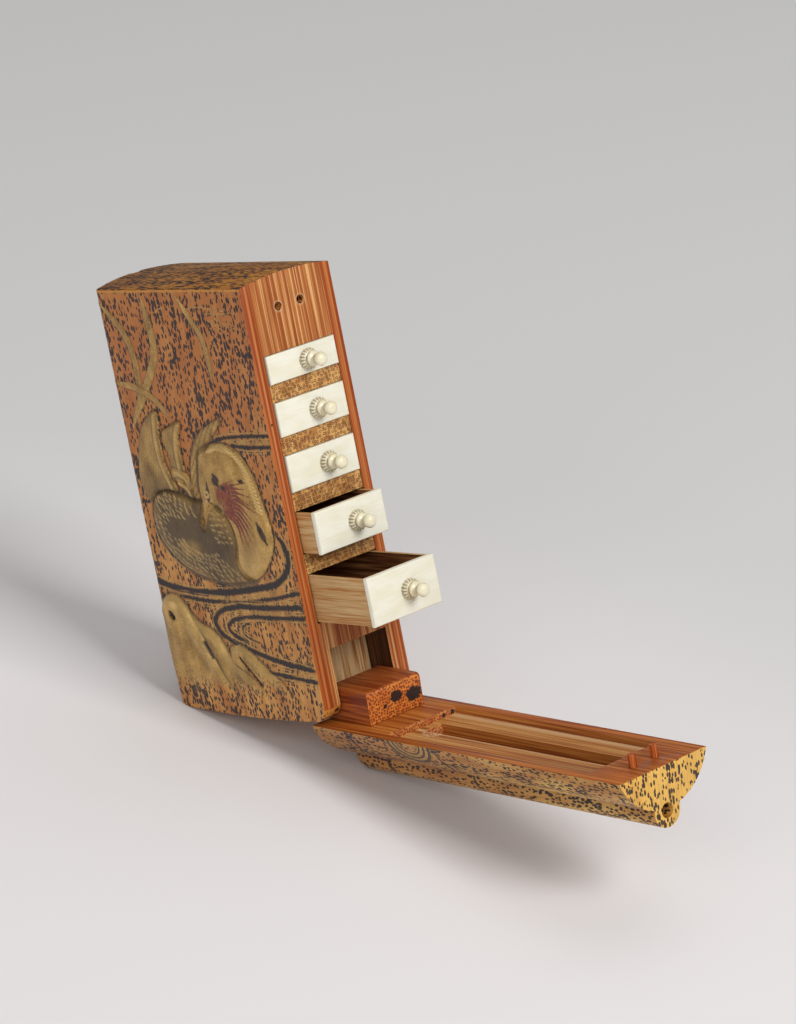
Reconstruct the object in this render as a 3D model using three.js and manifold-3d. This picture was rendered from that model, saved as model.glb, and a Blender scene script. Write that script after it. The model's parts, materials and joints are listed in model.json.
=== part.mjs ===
// A tall flat bamboo case that stands open: it leans back on its bottom edge, and its half-moon door,
// hinged at the bottom, lies out in front. Five drawers fill the case, and two of them are pulled out.
// Millimetres, +Z up. The case is drawn upright, with x from its back to its open front edge,
// y across its thickness from the decorated face, and z from its foot, and it is leaned back at the end.

import * as THREE from "three";
import { mergeVertices } from "three/addons/utils/BufferGeometryUtils.js";
import Module from "manifold-3d";

const wasm = await Module();
wasm.setup();

// Driving dimensions of the case
const WIDTH = 47;
const THICKNESS = 23.2;
const MIDDLE = THICKNESS / 2;
const HEIGHT = 89.4;
const CROWN = 1.0;
const BACK_BULGE = 1.4;
const BACK_CORNER = 0.9;
const BACK_REACH = 3;
const BACK_SWELL = 1.6;
const HEEL_RADIUS = 1.8;
const HEEL_RISE = 1.0;
const HEEL_LENGTH = 2.4;
const TOE_RADIUS = 3.2;
const TOE_RISE = 0.6;
const LEAN_DEG = 16.93;

// Shaft for the drawers, cut in from the front edge
const SHAFT_BACK = 5.5;
const SHAFT_NEAR = 2.65;
const SHAFT_FAR = 20.85;
const GLUE_GAP = 0.1;
const SLIDE_GAP = 0.3;

// Each drawer's opening, from the top one down, with where its face is when shut and how far it stands out
const DRAWERS = [
  { bottom: 69.1, top: 75.1, face: 47.4, out: 0 },
  { bottom: 58.45, top: 65.65, face: 47.4, out: 0 },
  { bottom: 47.2, top: 54.9, face: 47.4, out: 0 },
  { bottom: 34.7, top: 43.55, face: 47.4, out: 5.2 },
  { bottom: 20.45, top: 30.65, face: 47.15, out: 17.55 },
];
const DRAWER_BACK = 6.9;
const PLATE = 1.1;
const PLATE_BEVEL = 0.3;
const PLATE_GAP = 0.12;
const SIDE_WALL = 0.9;
const DRAWER_FLOOR = 0.8;

// Turned knob, measured out from the plate
const KNOB_LENGTH = 5;
const KNOB_Y = 13.05;
const FLANGE_RADIUS = 2.2;
const FLANGE_DEPTH = 0.95;
// Radius and distance from the plate at each turn of its profile
const KNOB_PROFILE = [
  [0, 0.5], [1.6, 0.5], [1.55, 1.15], [1.15, 1.25], [1.05, 1.4], [1.4, 1.6], [1.45, 2.05], [1.05, 2.4],
  [0.62, 2.55], [0.58, 2.9], [1.05, 3], [1.1, 3.15], [1.35, 3.6], [1.4, 4.05], [1.15, 4.6], [0.65, 4.92],
  [0, KNOB_LENGTH],
];
const PETALS = 16;
const PETAL_SHARE = 0.9;

// Hinge at the foot of the front edge, and the door's half-moon section
const PIN_X = 43.94;
const PIN_Z = 2.83;
const PIN_RADIUS = 0.75;
const PIN_NEAR = 2.0;
const PIN_FAR = 21.2;
const BORE_GAP = 0.12;
const OPEN_DEG = 92.9;
const DOOR_OFFSET = 3.26;
const DOOR_LENGTH = 88;
const DOOR_HEEL = 1.83;
const DOOR_WIDTH = 23.0;
const DOOR_DEPTH = 8.3;

// Recess in the case that takes the hinge block, and the block
const RECESS_BACK = 39.9;
const RECESS_NEAR = 4.3;
const RECESS_FAR = 19.3;
const RECESS_TOP = 14.7;
const BLOCK_NEAR = 4.65;
const BLOCK_FAR = 18.95;
const BLOCK_TOP = 12.9;
const BLOCK_HEIGHT = 6.8;
const BLOCK_ROUND = 0.9;
const BLOCK_FOOT = 0.4;
const BLOCK_HEEL = 1.0;

// Hollow in the door's inner face, and the groove that takes the knobs
const HOLLOW_NEAR = 2.5;
const HOLLOW_FAR = 20.7;
const HOLLOW_START = 20.2;
const HOLLOW_END = 77.2;
const HOLLOW_DEPTH = 1.5;
const GROOVE_NEAR = 10.1;
const GROOVE_FAR = 14.75;
const GROOVE_START = 22.5;
const GROOVE_END = 74.8;
const GROOVE_DEPTH = 6.8;

// Cord runners along the door's crest and the case's back
const RUNNER_RADIUS = 3.35;
const RUNNER_Y = 10.9;
const RUNNER_DEPTH = 8.6;
const RUNNER_START = 1.2;
const NOSE_LENGTH = 3.4;
const NOSE_SHARE = 0.55;
const BORE_RADIUS = 1.5;
const BACK_RUNNER_X = -1.9;
const BACK_RUNNER_LOW = 5;
const BACK_RUNNER_HIGH = 85.5;

// Locating pins near the door's free end, and their holes in the case
const LOCATING_Y = [8.7, 14.4];
const LOCATING_U = 82.85;
const LOCATING_RADIUS = 0.75;
const LOCATING_HEIGHT = 2.6;
const LOCATING_DEPTH = 2.0;
const HOLE_RADIUS = 0.9;
const HOLE_DEPTH = 3.4;

// Raised lacquer on the decorated face: how far it stands up
const BODY_RISE = 0.9;
const HEAD_RISE = 1.05;
const FEATHER_RISE = 0.6;
const ROCK_RISE = 0.9;
const INTO_FACE = 0.6;

const colours = {
  bamboo: new THREE.MeshStandardMaterial({ color: 0xb98546, roughness: 0.4, metalness: 0 }),
  endGrain: new THREE.MeshStandardMaterial({ color: 0xc4904f, roughness: 0.6, metalness: 0 }),
  wood: new THREE.MeshStandardMaterial({ color: 0xb08a5e, roughness: 0.55, metalness: 0 }),
  peg: new THREE.MeshStandardMaterial({ color: 0xb25a22, roughness: 0.5, metalness: 0 }),
  ivory: new THREE.MeshStandardMaterial({ color: 0xefede0, roughness: 0.35, metalness: 0 }),
};

const radians = THREE.MathUtils.degToRad;
const AXIS_MAPS = {
  x: [new THREE.Vector3(0, 1, 0), new THREE.Vector3(0, 0, 1), new THREE.Vector3(1, 0, 0)],
  y: [new THREE.Vector3(1, 0, 0), new THREE.Vector3(0, 0, 1), new THREE.Vector3(0, -1, 0)],
  z: [new THREE.Vector3(1, 0, 0), new THREE.Vector3(0, 1, 0), new THREE.Vector3(0, 0, 1)],
};

// A closed three.js geometry as a manifold solid
function solidOf(geometry) {
  const bare = geometry.index ? geometry.toNonIndexed() : geometry.clone();
  bare.deleteAttribute("normal");
  bare.deleteAttribute("uv");
  const merged = mergeVertices(bare, 1e-4);
  return new wasm.Manifold(new wasm.Mesh({
    numProp: 3,
    vertProperties: new Float32Array(merged.attributes.position.array),
    triVerts: new Uint32Array(merged.index.array),
  }));
}

// A manifold solid as a three.js geometry
function geometryOf(solid) {
  const { vertProperties, triVerts } = solid.getMesh();
  const geometry = new THREE.BufferGeometry();
  geometry.setAttribute("position", new THREE.BufferAttribute(vertProperties, 3));
  geometry.setIndex(new THREE.BufferAttribute(triVerts, 1));
  geometry.computeVertexNormals();
  return geometry;
}

// A shape pushed along an axis from low to high: along x it is drawn in (y, z), along y in (x, z)
function prism(shape, axis, low, high, curveSegments = 12) {
  const depth = high - low;
  const geometry = new THREE.ExtrudeGeometry(shape, { depth, bevelEnabled: false, curveSegments });
  geometry.applyMatrix4(new THREE.Matrix4().makeBasis(...AXIS_MAPS[axis]));
  if (axis === "x") geometry.translate(low, 0, 0);
  if (axis === "y") geometry.translate(0, high, 0);
  if (axis === "z") geometry.translate(0, 0, low);
  return solidOf(geometry);
}

function block(low, high) {
  const size = low.map((value, i) => high[i] - value);
  const geometry = new THREE.BoxGeometry(...size);
  geometry.translate(...low.map((value, i) => value + size[i] / 2));
  return solidOf(geometry);
}

function outline(points) {
  return new THREE.Shape(points.map(([a, b]) => new THREE.Vector2(a, b)));
}

function disc(a, b, radius) {
  const shape = new THREE.Shape();
  shape.absarc(a, b, radius, 0, 2 * Math.PI, false);
  return shape;
}

// A closed outline whose every corner is turned by a curve through the middles of its sides
function softOutline(points) {
  const shape = new THREE.Shape();
  const count = points.length;
  const half = (i) => {
    const [a, b] = [points[i % count], points[(i + 1) % count]];
    return [(a[0] + b[0]) / 2, (a[1] + b[1]) / 2];
  };
  shape.moveTo(...half(0));
  for (let i = 1; i <= count; i += 1) shape.quadraticCurveTo(...points[i % count], ...half(i));
  return shape;
}

// A low dome on the decorated face, an ellipse with its long half turned from the x direction
function dome(x, z, halfLong, halfShort, turnDeg, rise) {
  const geometry = new THREE.SphereGeometry(1, 32, 12);
  geometry.scale(halfLong, rise, halfShort);
  geometry.rotateY(-radians(turnDeg));
  geometry.translate(x, 0, z);
  return solidOf(geometry);
}

// The two mandarin duck sail feathers, its body, its head bent back over the body, and the crest
function duck() {
  const sails = [
    [[5.2, 45.8], [2.9, 50.4], [5.4, 59.2], [12.1, 64.4], [11.0, 55.6], [13.6, 47.6]],
    [[13.9, 51.2], [12.8, 59.6], [18.7, 62.0], [17.2, 56], [17.4, 50.4]],
  ].map((points) => prism(softOutline(points), "y", -FEATHER_RISE, INTO_FACE, 5));
  const crest = prism(
    softOutline([[20.4, 47], [19.4, 53.8], [24, 59.8], [32.4, 62.6], [25.8, 57.6], [22.8, 52]]),
    "y", -FEATHER_RISE / 2, INTO_FACE, 5,
  );
  const body = dome(18.8, 37.8, 15.8, 7.8, -27, BODY_RISE);
  const neck = dome(31.4, 43.8, 14.5, 8.6, -58, HEAD_RISE);
  const bill = prism(softOutline([[23.4, 48.0], [21.2, 44], [21.2, 40.0], [22.6, 41.6], [24.6, 45.6]]),
    "y", -FEATHER_RISE, INTO_FACE, 4);
  return [...sails, crest, body, neck, bill];
}

// Three gold rocks whose relief is highest at their peaks and sinks into the face at the foot
function rocks() {
  const ridge = softOutline([
    [1.6, 3], [1.3, 14], [1.4, 23.4], [4.8, 25.4], [8.4, 22.6], [11.4, 18.9], [15.6, 17.6], [18.6, 14.6],
    [20.3, 11.4], [22.4, 14.9], [25.8, 14.6], [29.4, 11.6], [34.2, 8.3], [41.6, 1.8], [30, 1.2],
  ]);
  const wedge = outline([[0, 2.2], [INTO_FACE, 2.2], [INTO_FACE, 26], [-ROCK_RISE, 26], [-ROCK_RISE, 15]]);
  return prism(ridge, "y", -ROCK_RISE, INTO_FACE, 5).intersect(prism(wedge, "x", -2, WIDTH - 2));
}

// Plan of the case: square at the open front edge, softly bulged at the back
function casePlan() {
  const plan = new THREE.Shape();
  plan.moveTo(WIDTH, 0);
  plan.lineTo(WIDTH, THICKNESS);
  plan.lineTo(BACK_CORNER, THICKNESS);
  plan.quadraticCurveTo(0, THICKNESS, -BACK_BULGE / 3, THICKNESS - BACK_CORNER);
  plan.quadraticCurveTo(-BACK_BULGE * BACK_SWELL, MIDDLE, -BACK_BULGE / 3, BACK_CORNER);
  plan.quadraticCurveTo(0, 0, BACK_CORNER, 0);
  return plan;
}

// Side view of the case: a shallow arch between the heel it stands on and the toe at the hinge
function caseSide() {
  const side = new THREE.Shape();
  const high = HEIGHT + 2 * CROWN;
  side.moveTo(-BACK_REACH, high);
  side.lineTo(-BACK_REACH, HEEL_RISE + 2 * HEEL_RADIUS);
  side.lineTo(-BACK_BULGE / 3, HEEL_RISE + HEEL_RADIUS);
  side.quadraticCurveTo(0, HEEL_RISE, HEEL_LENGTH, HEEL_RISE * 0.8);
  side.quadraticCurveTo(WIDTH / 2, -TOE_RISE, WIDTH - TOE_RADIUS, TOE_RISE);
  side.absarc(WIDTH - TOE_RADIUS, TOE_RISE + TOE_RADIUS, TOE_RADIUS, -Math.PI / 2, 0, false);
  side.lineTo(WIDTH, high);
  return side;
}

// End view of the case: its top is crowned from face to face
function caseEnd() {
  const end = new THREE.Shape();
  end.moveTo(-1, -2);
  end.lineTo(THICKNESS + 1, -2);
  end.lineTo(THICKNESS + 1, HEIGHT);
  end.lineTo(THICKNESS, HEIGHT);
  end.quadraticCurveTo(MIDDLE, HEIGHT + 2 * CROWN, 0, HEIGHT);
  end.lineTo(-1, HEIGHT);
  return end;
}

// A tube of the cord runner's section, from low to high along z, drawn down to a nose at each end asked for
function runner(x, y, low, high, noses) {
  const steps = [0, 0.12, 0.35, 0.65, 1];
  const swell = (t) => RUNNER_RADIUS * (NOSE_SHARE + (1 - NOSE_SHARE) * Math.sin(t * Math.PI / 2));
  const rise = steps.map((t) => new THREE.Vector2(swell(t), low + t * NOSE_LENGTH));
  const fall = steps.map((t) => new THREE.Vector2(swell(t), high - t * NOSE_LENGTH)).reverse();
  const profile = [
    new THREE.Vector2(0, low),
    ...(noses.low ? rise : [new THREE.Vector2(RUNNER_RADIUS, low)]),
    ...(noses.high ? fall : [new THREE.Vector2(RUNNER_RADIUS, high)]),
    new THREE.Vector2(0, high),
  ];
  const lathe = new THREE.LatheGeometry(profile, 28);
  lathe.rotateX(Math.PI / 2);
  lathe.rotateZ(Math.PI / 2);
  lathe.translate(x, y, 0);
  return solidOf(lathe);
}

function caseBody() {
  const shell = prism(casePlan(), "z", -1, HEIGHT + 2 * CROWN, 8)
    .intersect(prism(caseSide(), "y", -1, THICKNESS + 1, 10))
    .intersect(prism(caseEnd(), "x", -4, WIDTH + 1, 12))
    .add(runner(BACK_RUNNER_X, MIDDLE, BACK_RUNNER_LOW, BACK_RUNNER_HIGH, { low: true, high: true }));
  const raised = [...duck(), rocks()].reduce((all, piece) => all.add(piece), shell);
  const { bottom } = DRAWERS[DRAWERS.length - 1];
  const cuts = [
    block([SHAFT_BACK, SHAFT_NEAR, bottom], [WIDTH + 1, SHAFT_FAR, DRAWERS[0].top]),
    block([RECESS_BACK, RECESS_NEAR, -2], [WIDTH + 1, RECESS_FAR, RECESS_TOP]),
    prism(disc(BACK_RUNNER_X, MIDDLE, BORE_RADIUS), "z", -2, HEIGHT + 4),
    prism(disc(PIN_X, PIN_Z, PIN_RADIUS + BORE_GAP), "y", PIN_NEAR - BORE_GAP, PIN_FAR + BORE_GAP),
    ...LOCATING_Y.map((y) => {
      const z = PIN_Z + LOCATING_U - DOOR_HEEL;
      return prism(disc(y, z, HOLE_RADIUS), "x", WIDTH - HOLE_DEPTH, WIDTH + 1, 8);
    }),
  ];
  return cuts.reduce((left, cut) => left.subtract(cut), raised);
}

// The board below each drawer but the lowest
function divider(upper, lower) {
  return block(
    [SHAFT_BACK + GLUE_GAP, SHAFT_NEAR + GLUE_GAP, lower.top],
    [WIDTH - GLUE_GAP, SHAFT_FAR - GLUE_GAP, upper.bottom],
  );
}

// An open-topped wooden tray, drawn pushed home
function drawerBox({ bottom, top, face }) {
  const low = [DRAWER_BACK, SHAFT_NEAR + SLIDE_GAP, bottom + SLIDE_GAP];
  const high = [face - PLATE - GLUE_GAP, SHAFT_FAR - SLIDE_GAP, top - SLIDE_GAP];
  return block(low, high).subtract(block(
    [low[0] + SIDE_WALL, low[1] + SIDE_WALL, low[2] + DRAWER_FLOOR],
    [high[0] - SIDE_WALL, high[1] - SIDE_WALL, high[2] + 1],
  ));
}

// The ivory plate on a drawer: its front edges are bevelled, and it fills the opening closely
function drawerPlate({ bottom, top, face }) {
  const [near, far] = [SHAFT_NEAR + SLIDE_GAP, SHAFT_FAR - PLATE_GAP];
  const [low, high] = [bottom + PLATE_GAP, top - PLATE_GAP];
  const rectangle = outline([[near, low], [far, low], [far, high], [near, high]]);
  const geometry = new THREE.ExtrudeGeometry(rectangle, {
    depth: PLATE - PLATE_BEVEL,
    bevelThickness: PLATE_BEVEL,
    bevelSize: PLATE_BEVEL,
    bevelOffset: -PLATE_BEVEL,
    bevelSegments: 1,
  });
  geometry.applyMatrix4(new THREE.Matrix4().makeBasis(...AXIS_MAPS.x));
  geometry.translate(face - PLATE, 0, 0);
  return solidOf(geometry).intersect(block([face - PLATE, 0, 0], [face, THICKNESS, HEIGHT]));
}

// A petalled flange, a bead and a button end, turned about the x axis
function knob({ bottom, top, face }) {
  const profile = KNOB_PROFILE.map(([radius, along]) => new THREE.Vector2(radius, along));
  const lathe = new THREE.LatheGeometry(profile, 20);
  const petals = [];
  for (let i = 0; i < 2 * PETALS; i += 1) {
    const angle = (i / PETALS) * Math.PI;
    const radius = i % 2 ? FLANGE_RADIUS * PETAL_SHARE : FLANGE_RADIUS;
    petals.push([radius * Math.cos(angle), radius * Math.sin(angle)]);
  }
  const z = (bottom + top) / 2;
  lathe.rotateZ(-Math.PI / 2);
  lathe.translate(face, KNOB_Y, z);
  const start = face + GLUE_GAP;
  const rim = outline(petals.map(([a, b]) => [KNOB_Y + a, z + b]));
  const flange = prism(rim, "x", start, start + FLANGE_DEPTH);
  return solidOf(lathe).add(flange);
}

// The half-moon door as it is when shut, drawn from the hinge pin: x out of the case, z up the door
function doorBody() {
  const half = DOOR_WIDTH / 2;
  const radius = (half ** 2 + DOOR_DEPTH ** 2) / (2 * DOOR_DEPTH);
  const sweep = Math.asin(half / radius);
  const section = new THREE.Shape();
  section.absarc(DOOR_OFFSET + DOOR_DEPTH - radius, half, radius, -sweep, sweep, false);
  section.closePath();
  const [low, high] = [-DOOR_HEEL, DOOR_LENGTH - DOOR_HEEL];
  const crest = DOOR_OFFSET + RUNNER_DEPTH;
  const along = (u) => u - DOOR_HEEL;
  const cuts = [
    block([0, HOLLOW_NEAR, along(HOLLOW_START)], [DOOR_OFFSET + HOLLOW_DEPTH, HOLLOW_FAR, along(HOLLOW_END)]),
    block([0, GROOVE_NEAR, along(GROOVE_START)], [DOOR_OFFSET + GROOVE_DEPTH, GROOVE_FAR, along(GROOVE_END)]),
    prism(disc(crest, RUNNER_Y, BORE_RADIUS), "z", low - 1, high + 1),
    ...LOCATING_Y.map((y) => prism(disc(y, along(LOCATING_U), LOCATING_RADIUS + BORE_GAP),
      "x", 0, DOOR_OFFSET + LOCATING_DEPTH, 8)),
  ];
  const whole = prism(section, "z", low, high, 28)
    .add(runner(crest, RUNNER_Y, along(RUNNER_START), high, { low: true, high: false }));
  return cuts.reduce((left, cut) => left.subtract(cut), whole);
}

// The block that turns on the pin, round below it and square at the top
function hingeBlock() {
  const face = DOOR_OFFSET - GLUE_GAP;
  const back = DOOR_OFFSET - BLOCK_HEIGHT;
  const top = BLOCK_TOP - DOOR_HEEL;
  const foot = BLOCK_FOOT - DOOR_HEEL;
  const side = new THREE.Shape();
  side.moveTo(face, foot);
  side.lineTo(face, top);
  side.lineTo(back + BLOCK_ROUND, top);
  side.absarc(back + BLOCK_ROUND, top - BLOCK_ROUND, BLOCK_ROUND, Math.PI / 2, Math.PI, false);
  side.lineTo(back, -BLOCK_HEEL);
  side.quadraticCurveTo(back, -DOOR_HEEL, -BLOCK_HEEL, -DOOR_HEEL);
  side.lineTo(face, foot);
  return prism(side, "y", BLOCK_NEAR, BLOCK_FAR, 6)
    .subtract(prism(disc(0, 0, PIN_RADIUS + BORE_GAP), "y", BLOCK_NEAR - 1, BLOCK_FAR + 1));
}

function locatingPin(y) {
  const z = LOCATING_U - DOOR_HEEL;
  const [tip, root] = [DOOR_OFFSET - LOCATING_HEIGHT, DOOR_OFFSET + LOCATING_DEPTH - BORE_GAP];
  return prism(disc(y, z, LOCATING_RADIUS), "x", tip, root, 8);
}

function mesh(name, solid, material) {
  const piece = new THREE.Mesh(geometryOf(solid), material);
  piece.name = name;
  return piece;
}

const doorGroup = new THREE.Group();
doorGroup.position.set(PIN_X, 0, PIN_Z);
doorGroup.rotation.y = radians(OPEN_DEG);
doorGroup.add(
  mesh("door", doorBody(), colours.bamboo),
  mesh("hinge_block", hingeBlock(), colours.peg),
  mesh("locating_pin_near", locatingPin(LOCATING_Y[0]), colours.peg),
  mesh("locating_pin_far", locatingPin(LOCATING_Y[1]), colours.peg),
);

const caseGroup = new THREE.Group();
caseGroup.rotation.y = -radians(LEAN_DEG);
caseGroup.add(
  mesh("case_body", caseBody(), colours.bamboo),
  mesh("hinge_pin", prism(disc(PIN_X, PIN_Z, PIN_RADIUS), "y", PIN_NEAR, PIN_FAR), colours.peg),
  doorGroup,
);
DRAWERS.forEach((drawer, i) => {
  const group = new THREE.Group();
  group.position.x = drawer.out;
  group.add(
    mesh(`drawer_${i + 1}_box`, drawerBox(drawer), colours.wood),
    mesh(`drawer_${i + 1}_front`, drawerPlate(drawer), colours.ivory),
    mesh(`drawer_${i + 1}_knob`, knob(drawer), colours.ivory),
  );
  caseGroup.add(group);
  if (i) caseGroup.add(mesh(`divider_${i}`, divider(DRAWERS[i - 1], drawer), colours.endGrain));
});

// Stood on the surface, with the middle of its footprint at the origin
const inro = new THREE.Group();
inro.add(caseGroup);
inro.updateMatrixWorld(true);
const bounds = new THREE.Box3().setFromObject(inro, true);
const centre = bounds.getCenter(new THREE.Vector3());
caseGroup.position.set(-centre.x, -centre.y, -bounds.min.z);
inro.updateMatrixWorld(true);

export default inro;
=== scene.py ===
"""The look of a flat bamboo case that stands open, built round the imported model.

Sizes are millimetres in a part's own upright axes: x runs from the case's back to its open front edge,
y across from the decorated face, and z up from the foot. A part is drawn in them and then laid into the
model's leaning frame.
"""

import json
import logging
import math
from contextlib import contextmanager
from dataclasses import dataclass, field
from enum import Enum, IntEnum
from typing import Callable, Iterator, Protocol, Sequence

import bpy
import numpy as np
from mathutils import Matrix, Vector
from mathutils.bvhtree import BVHTree

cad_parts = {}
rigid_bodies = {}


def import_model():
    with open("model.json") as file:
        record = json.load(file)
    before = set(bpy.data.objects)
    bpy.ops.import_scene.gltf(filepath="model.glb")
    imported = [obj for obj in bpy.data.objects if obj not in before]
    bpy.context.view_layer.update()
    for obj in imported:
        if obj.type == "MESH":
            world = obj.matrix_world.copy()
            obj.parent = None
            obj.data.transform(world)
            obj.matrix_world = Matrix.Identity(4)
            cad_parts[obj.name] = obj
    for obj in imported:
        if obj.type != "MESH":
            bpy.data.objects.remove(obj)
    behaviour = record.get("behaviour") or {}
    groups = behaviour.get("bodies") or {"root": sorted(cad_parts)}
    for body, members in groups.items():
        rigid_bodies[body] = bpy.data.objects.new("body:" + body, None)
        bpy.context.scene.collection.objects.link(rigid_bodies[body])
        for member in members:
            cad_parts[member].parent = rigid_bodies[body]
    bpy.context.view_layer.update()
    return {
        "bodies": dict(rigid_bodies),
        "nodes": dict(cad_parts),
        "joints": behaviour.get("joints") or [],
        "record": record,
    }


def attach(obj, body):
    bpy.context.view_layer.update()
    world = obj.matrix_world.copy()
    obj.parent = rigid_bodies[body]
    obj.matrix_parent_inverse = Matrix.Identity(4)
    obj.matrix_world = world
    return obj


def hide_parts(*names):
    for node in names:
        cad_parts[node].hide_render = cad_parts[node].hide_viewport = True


log = logging.getLogger("inro")

MM = 0.001
GROOVE_DARKENING = "groove_darkening"

# Where the hinge pin's middle lies in the case's own axes
PIN_OWN = Vector((43.94, 11.6, 2.83))
CASE_WIDTH = 47.0
CASE_THICKNESS = 23.2
CASE_HEIGHT = 89.4
BACK_CORNER = 0.9
BACK_SIDE_X = -0.467

# The door's own axes start at the pin: x outwards, z along the door
DOOR_INNER_X = 3.26
DOOR_HEEL = 1.83

# The space for the drawers inside the case, and the recess for the hinge block below it
WELL_X = (5.3, 46.7)
WELL_Y = (2.6, 20.9)
WELL_TOP = 75.6
RECESS_BACK = 39.7
RECESS_TOP = 16.0

# The door's hollow: along the door, across it, and down to its floor and its groove's floor
HOLLOW_Z = (20.0, 77.3)
HOLLOW_Y = (2.4, 20.8)
HOLLOW_FLOOR = 1.6
GROOVE_FLOOR = 6.9

# Points nearer than this are joined, and faces flatter than this are one face
WELD = 0.001
FLAT_DEG = 0.6
CREASE_DEG = 35

# The portrait camera, in the case's own axes
EYE = Vector((668.65, -475.24, 207.0))
SIGHT = Vector((-0.7599, 0.6155, -0.2089))
UP = Vector((0.280667, 0, 0.959805))
LENS = 142.9
SENSOR = 36.0

Points = Sequence[tuple[float, float]]
Chooser = Callable[[Vector, Vector], int]
Triple = tuple[float, float, float]
Socket = bpy.types.NodeSocket
Value = float | tuple | Socket


def linear(hex_colour: str, alpha: float = 1.0) -> tuple[float, float, float, float]:
    """Turns an sRGB hex colour to Blender's linear values.

    Args:
        hex_colour: six hex digits, without a hash sign.
        alpha: the fourth value.

    Returns:
        Linear red, green, blue and alpha.
    """
    parts = [int(hex_colour[i:i + 2], 16) / 255 for i in (0, 2, 4)]
    red, green, blue = [c / 12.92 if c <= 0.04045 else ((c + 0.055) / 1.055) ** 2.4 for c in parts]
    return red, green, blue, alpha


def set_inputs(node: bpy.types.Node, inputs: dict[str | int, Value]) -> None:
    """Sets or links a node's inputs, by name or number.

    Args:
        node: the node.
        inputs: values or sockets, by input name or number.
    """
    for key, value in inputs.items():
        if isinstance(value, Socket):
            node.id_data.links.new(value, node.inputs[key])
        else:
            node.inputs[key].default_value = value


def add_node(
    tree: bpy.types.NodeTree,
    kind: str,
    inputs: dict[str | int, Value] | None = None,
    stops: Sequence[tuple[float, str]] = (),
    **settings: object,
) -> bpy.types.Node:
    """Adds a shader node with its settings, values and links.

    Args:
        tree: the material's node tree.
        kind: the node's type name.
        inputs: values or sockets by input name or number.
        stops: places and hex colours, on a colour ramp.
        **settings: the node's own properties.

    Returns:
        The new node.
    """
    node = tree.nodes.new(kind)
    for name, value in settings.items():
        setattr(node, name, value)
    set_inputs(node, inputs or {})
    for i, (place, colour) in enumerate(stops):
        ramp = node.color_ramp.elements
        stop = ramp[i] if i < 2 else ramp.new(place)
        stop.position = place
        stop.color = linear(colour)
    return node


@dataclass(frozen=True)
class Axes:
    """Upright axes in millimetres of a part that is turned about Y in the model's frame."""

    lean: float
    own_pivot: Vector
    pivot: Vector

    def to_model(self) -> Matrix:
        """Own millimetres to metres in the model's frame."""
        turned = Matrix.Rotation(-self.lean, 4, "Y") @ Matrix.Scale(MM, 4)
        return Matrix.Translation(self.pivot) @ turned @ Matrix.Translation(-self.own_pivot)

    def own_points(self, points: np.ndarray) -> np.ndarray:
        """Model points in metres as own millimetres."""
        back = np.array(self.to_model().inverted())
        return points @ back[:3, :3].T + back[:3, 3]


@dataclass
class Model:
    """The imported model, with the axes of its leaning case and its open door."""

    frame: dict
    case: Axes = field(init=False)
    door: Axes = field(init=False)

    def __post_init__(self) -> None:
        """Finds the two sets of axes from the joints."""
        joints = {joint["name"]: joint for joint in self.frame["joints"]}
        slide = joints["drawer_5_slide"]["axis"]
        hinge = joints["door_hinge"]
        lean = math.atan2(slide[2], slide[0])
        swing = math.radians(hinge["range_deg"][0])
        pivot = Vector(hinge["pos_m"])
        self.case = Axes(lean, PIN_OWN, pivot)
        self.door = Axes(lean + swing, Vector((0, PIN_OWN.y, 0)), pivot)

    def own_box(self, node: str, axes: Axes) -> tuple[Vector, Vector]:
        """Finds a node's lowest and highest corners in a part's own axes.

        Args:
            node: the CAD node's name.
            axes: the axes to measure in.

        Returns:
            The two corners, in millimetres.
        """
        mesh = self.frame["nodes"][node].data
        points = np.empty(len(mesh.vertices) * 3)
        mesh.vertices.foreach_get("co", points)
        own = axes.own_points(points.reshape(-1, 3))
        return Vector(own.min(0)), Vector(own.max(0))


class Finish(Protocol):
    """Any finish that can be made in a part's own axes."""

    def build(self, axes: Axes) -> bpy.types.Material:
        """Makes the material in a part's own axes."""


class Kind(Enum):
    """What a finish is made of: a node's type, its inputs in order, its output and its settings."""

    MIX = "ShaderNodeMix", (0, 6, 7), 2, {"data_type": "RGBA"}
    PLUS = "ShaderNodeMath", (0, 1), 0, {"operation": "ADD"}
    MINUS = "ShaderNodeMath", (0, 1), 0, {"operation": "SUBTRACT"}
    TIMES = "ShaderNodeMath", (0, 1), 0, {"operation": "MULTIPLY"}
    POWER = "ShaderNodeMath", (0, 1), 0, {"operation": "POWER"}
    SIZE = "ShaderNodeMath", (0,), 0, {"operation": "ABSOLUTE"}
    EASE = "ShaderNodeMapRange", (0, 1, 2, 3, 4), 0, {"interpolation_type": "SMOOTHSTEP"}
    APART = "ShaderNodeVectorMath", (0, 1), "Value", {"operation": "DISTANCE"}
    PLACE = "ShaderNodeCombineXYZ", (0, 1), 0, {}
    RAMP = "ShaderNodeValToRGB", (0,), 0, {}
    CELLS = "ShaderNodeMapping", ("Vector", "Location", "Scale"), 0, {}
    NOISE = "ShaderNodeTexNoise", ("Vector", "Scale", "Detail"), "Fac", {}
    SPOTS = "ShaderNodeTexVoronoi", ("Vector", "Scale", "Randomness"), "Distance", {}
    PLANE_SPOTS = (
        "ShaderNodeTexVoronoi", ("Vector", "Scale", "Randomness"), "Distance", {"voronoi_dimensions": "2D"},
    )
    LAID = "ShaderNodeAttribute", (), "Fac", {}
    BUMP = "ShaderNodeBump", ("Height", "Distance", "Strength"), 0, {}


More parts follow.
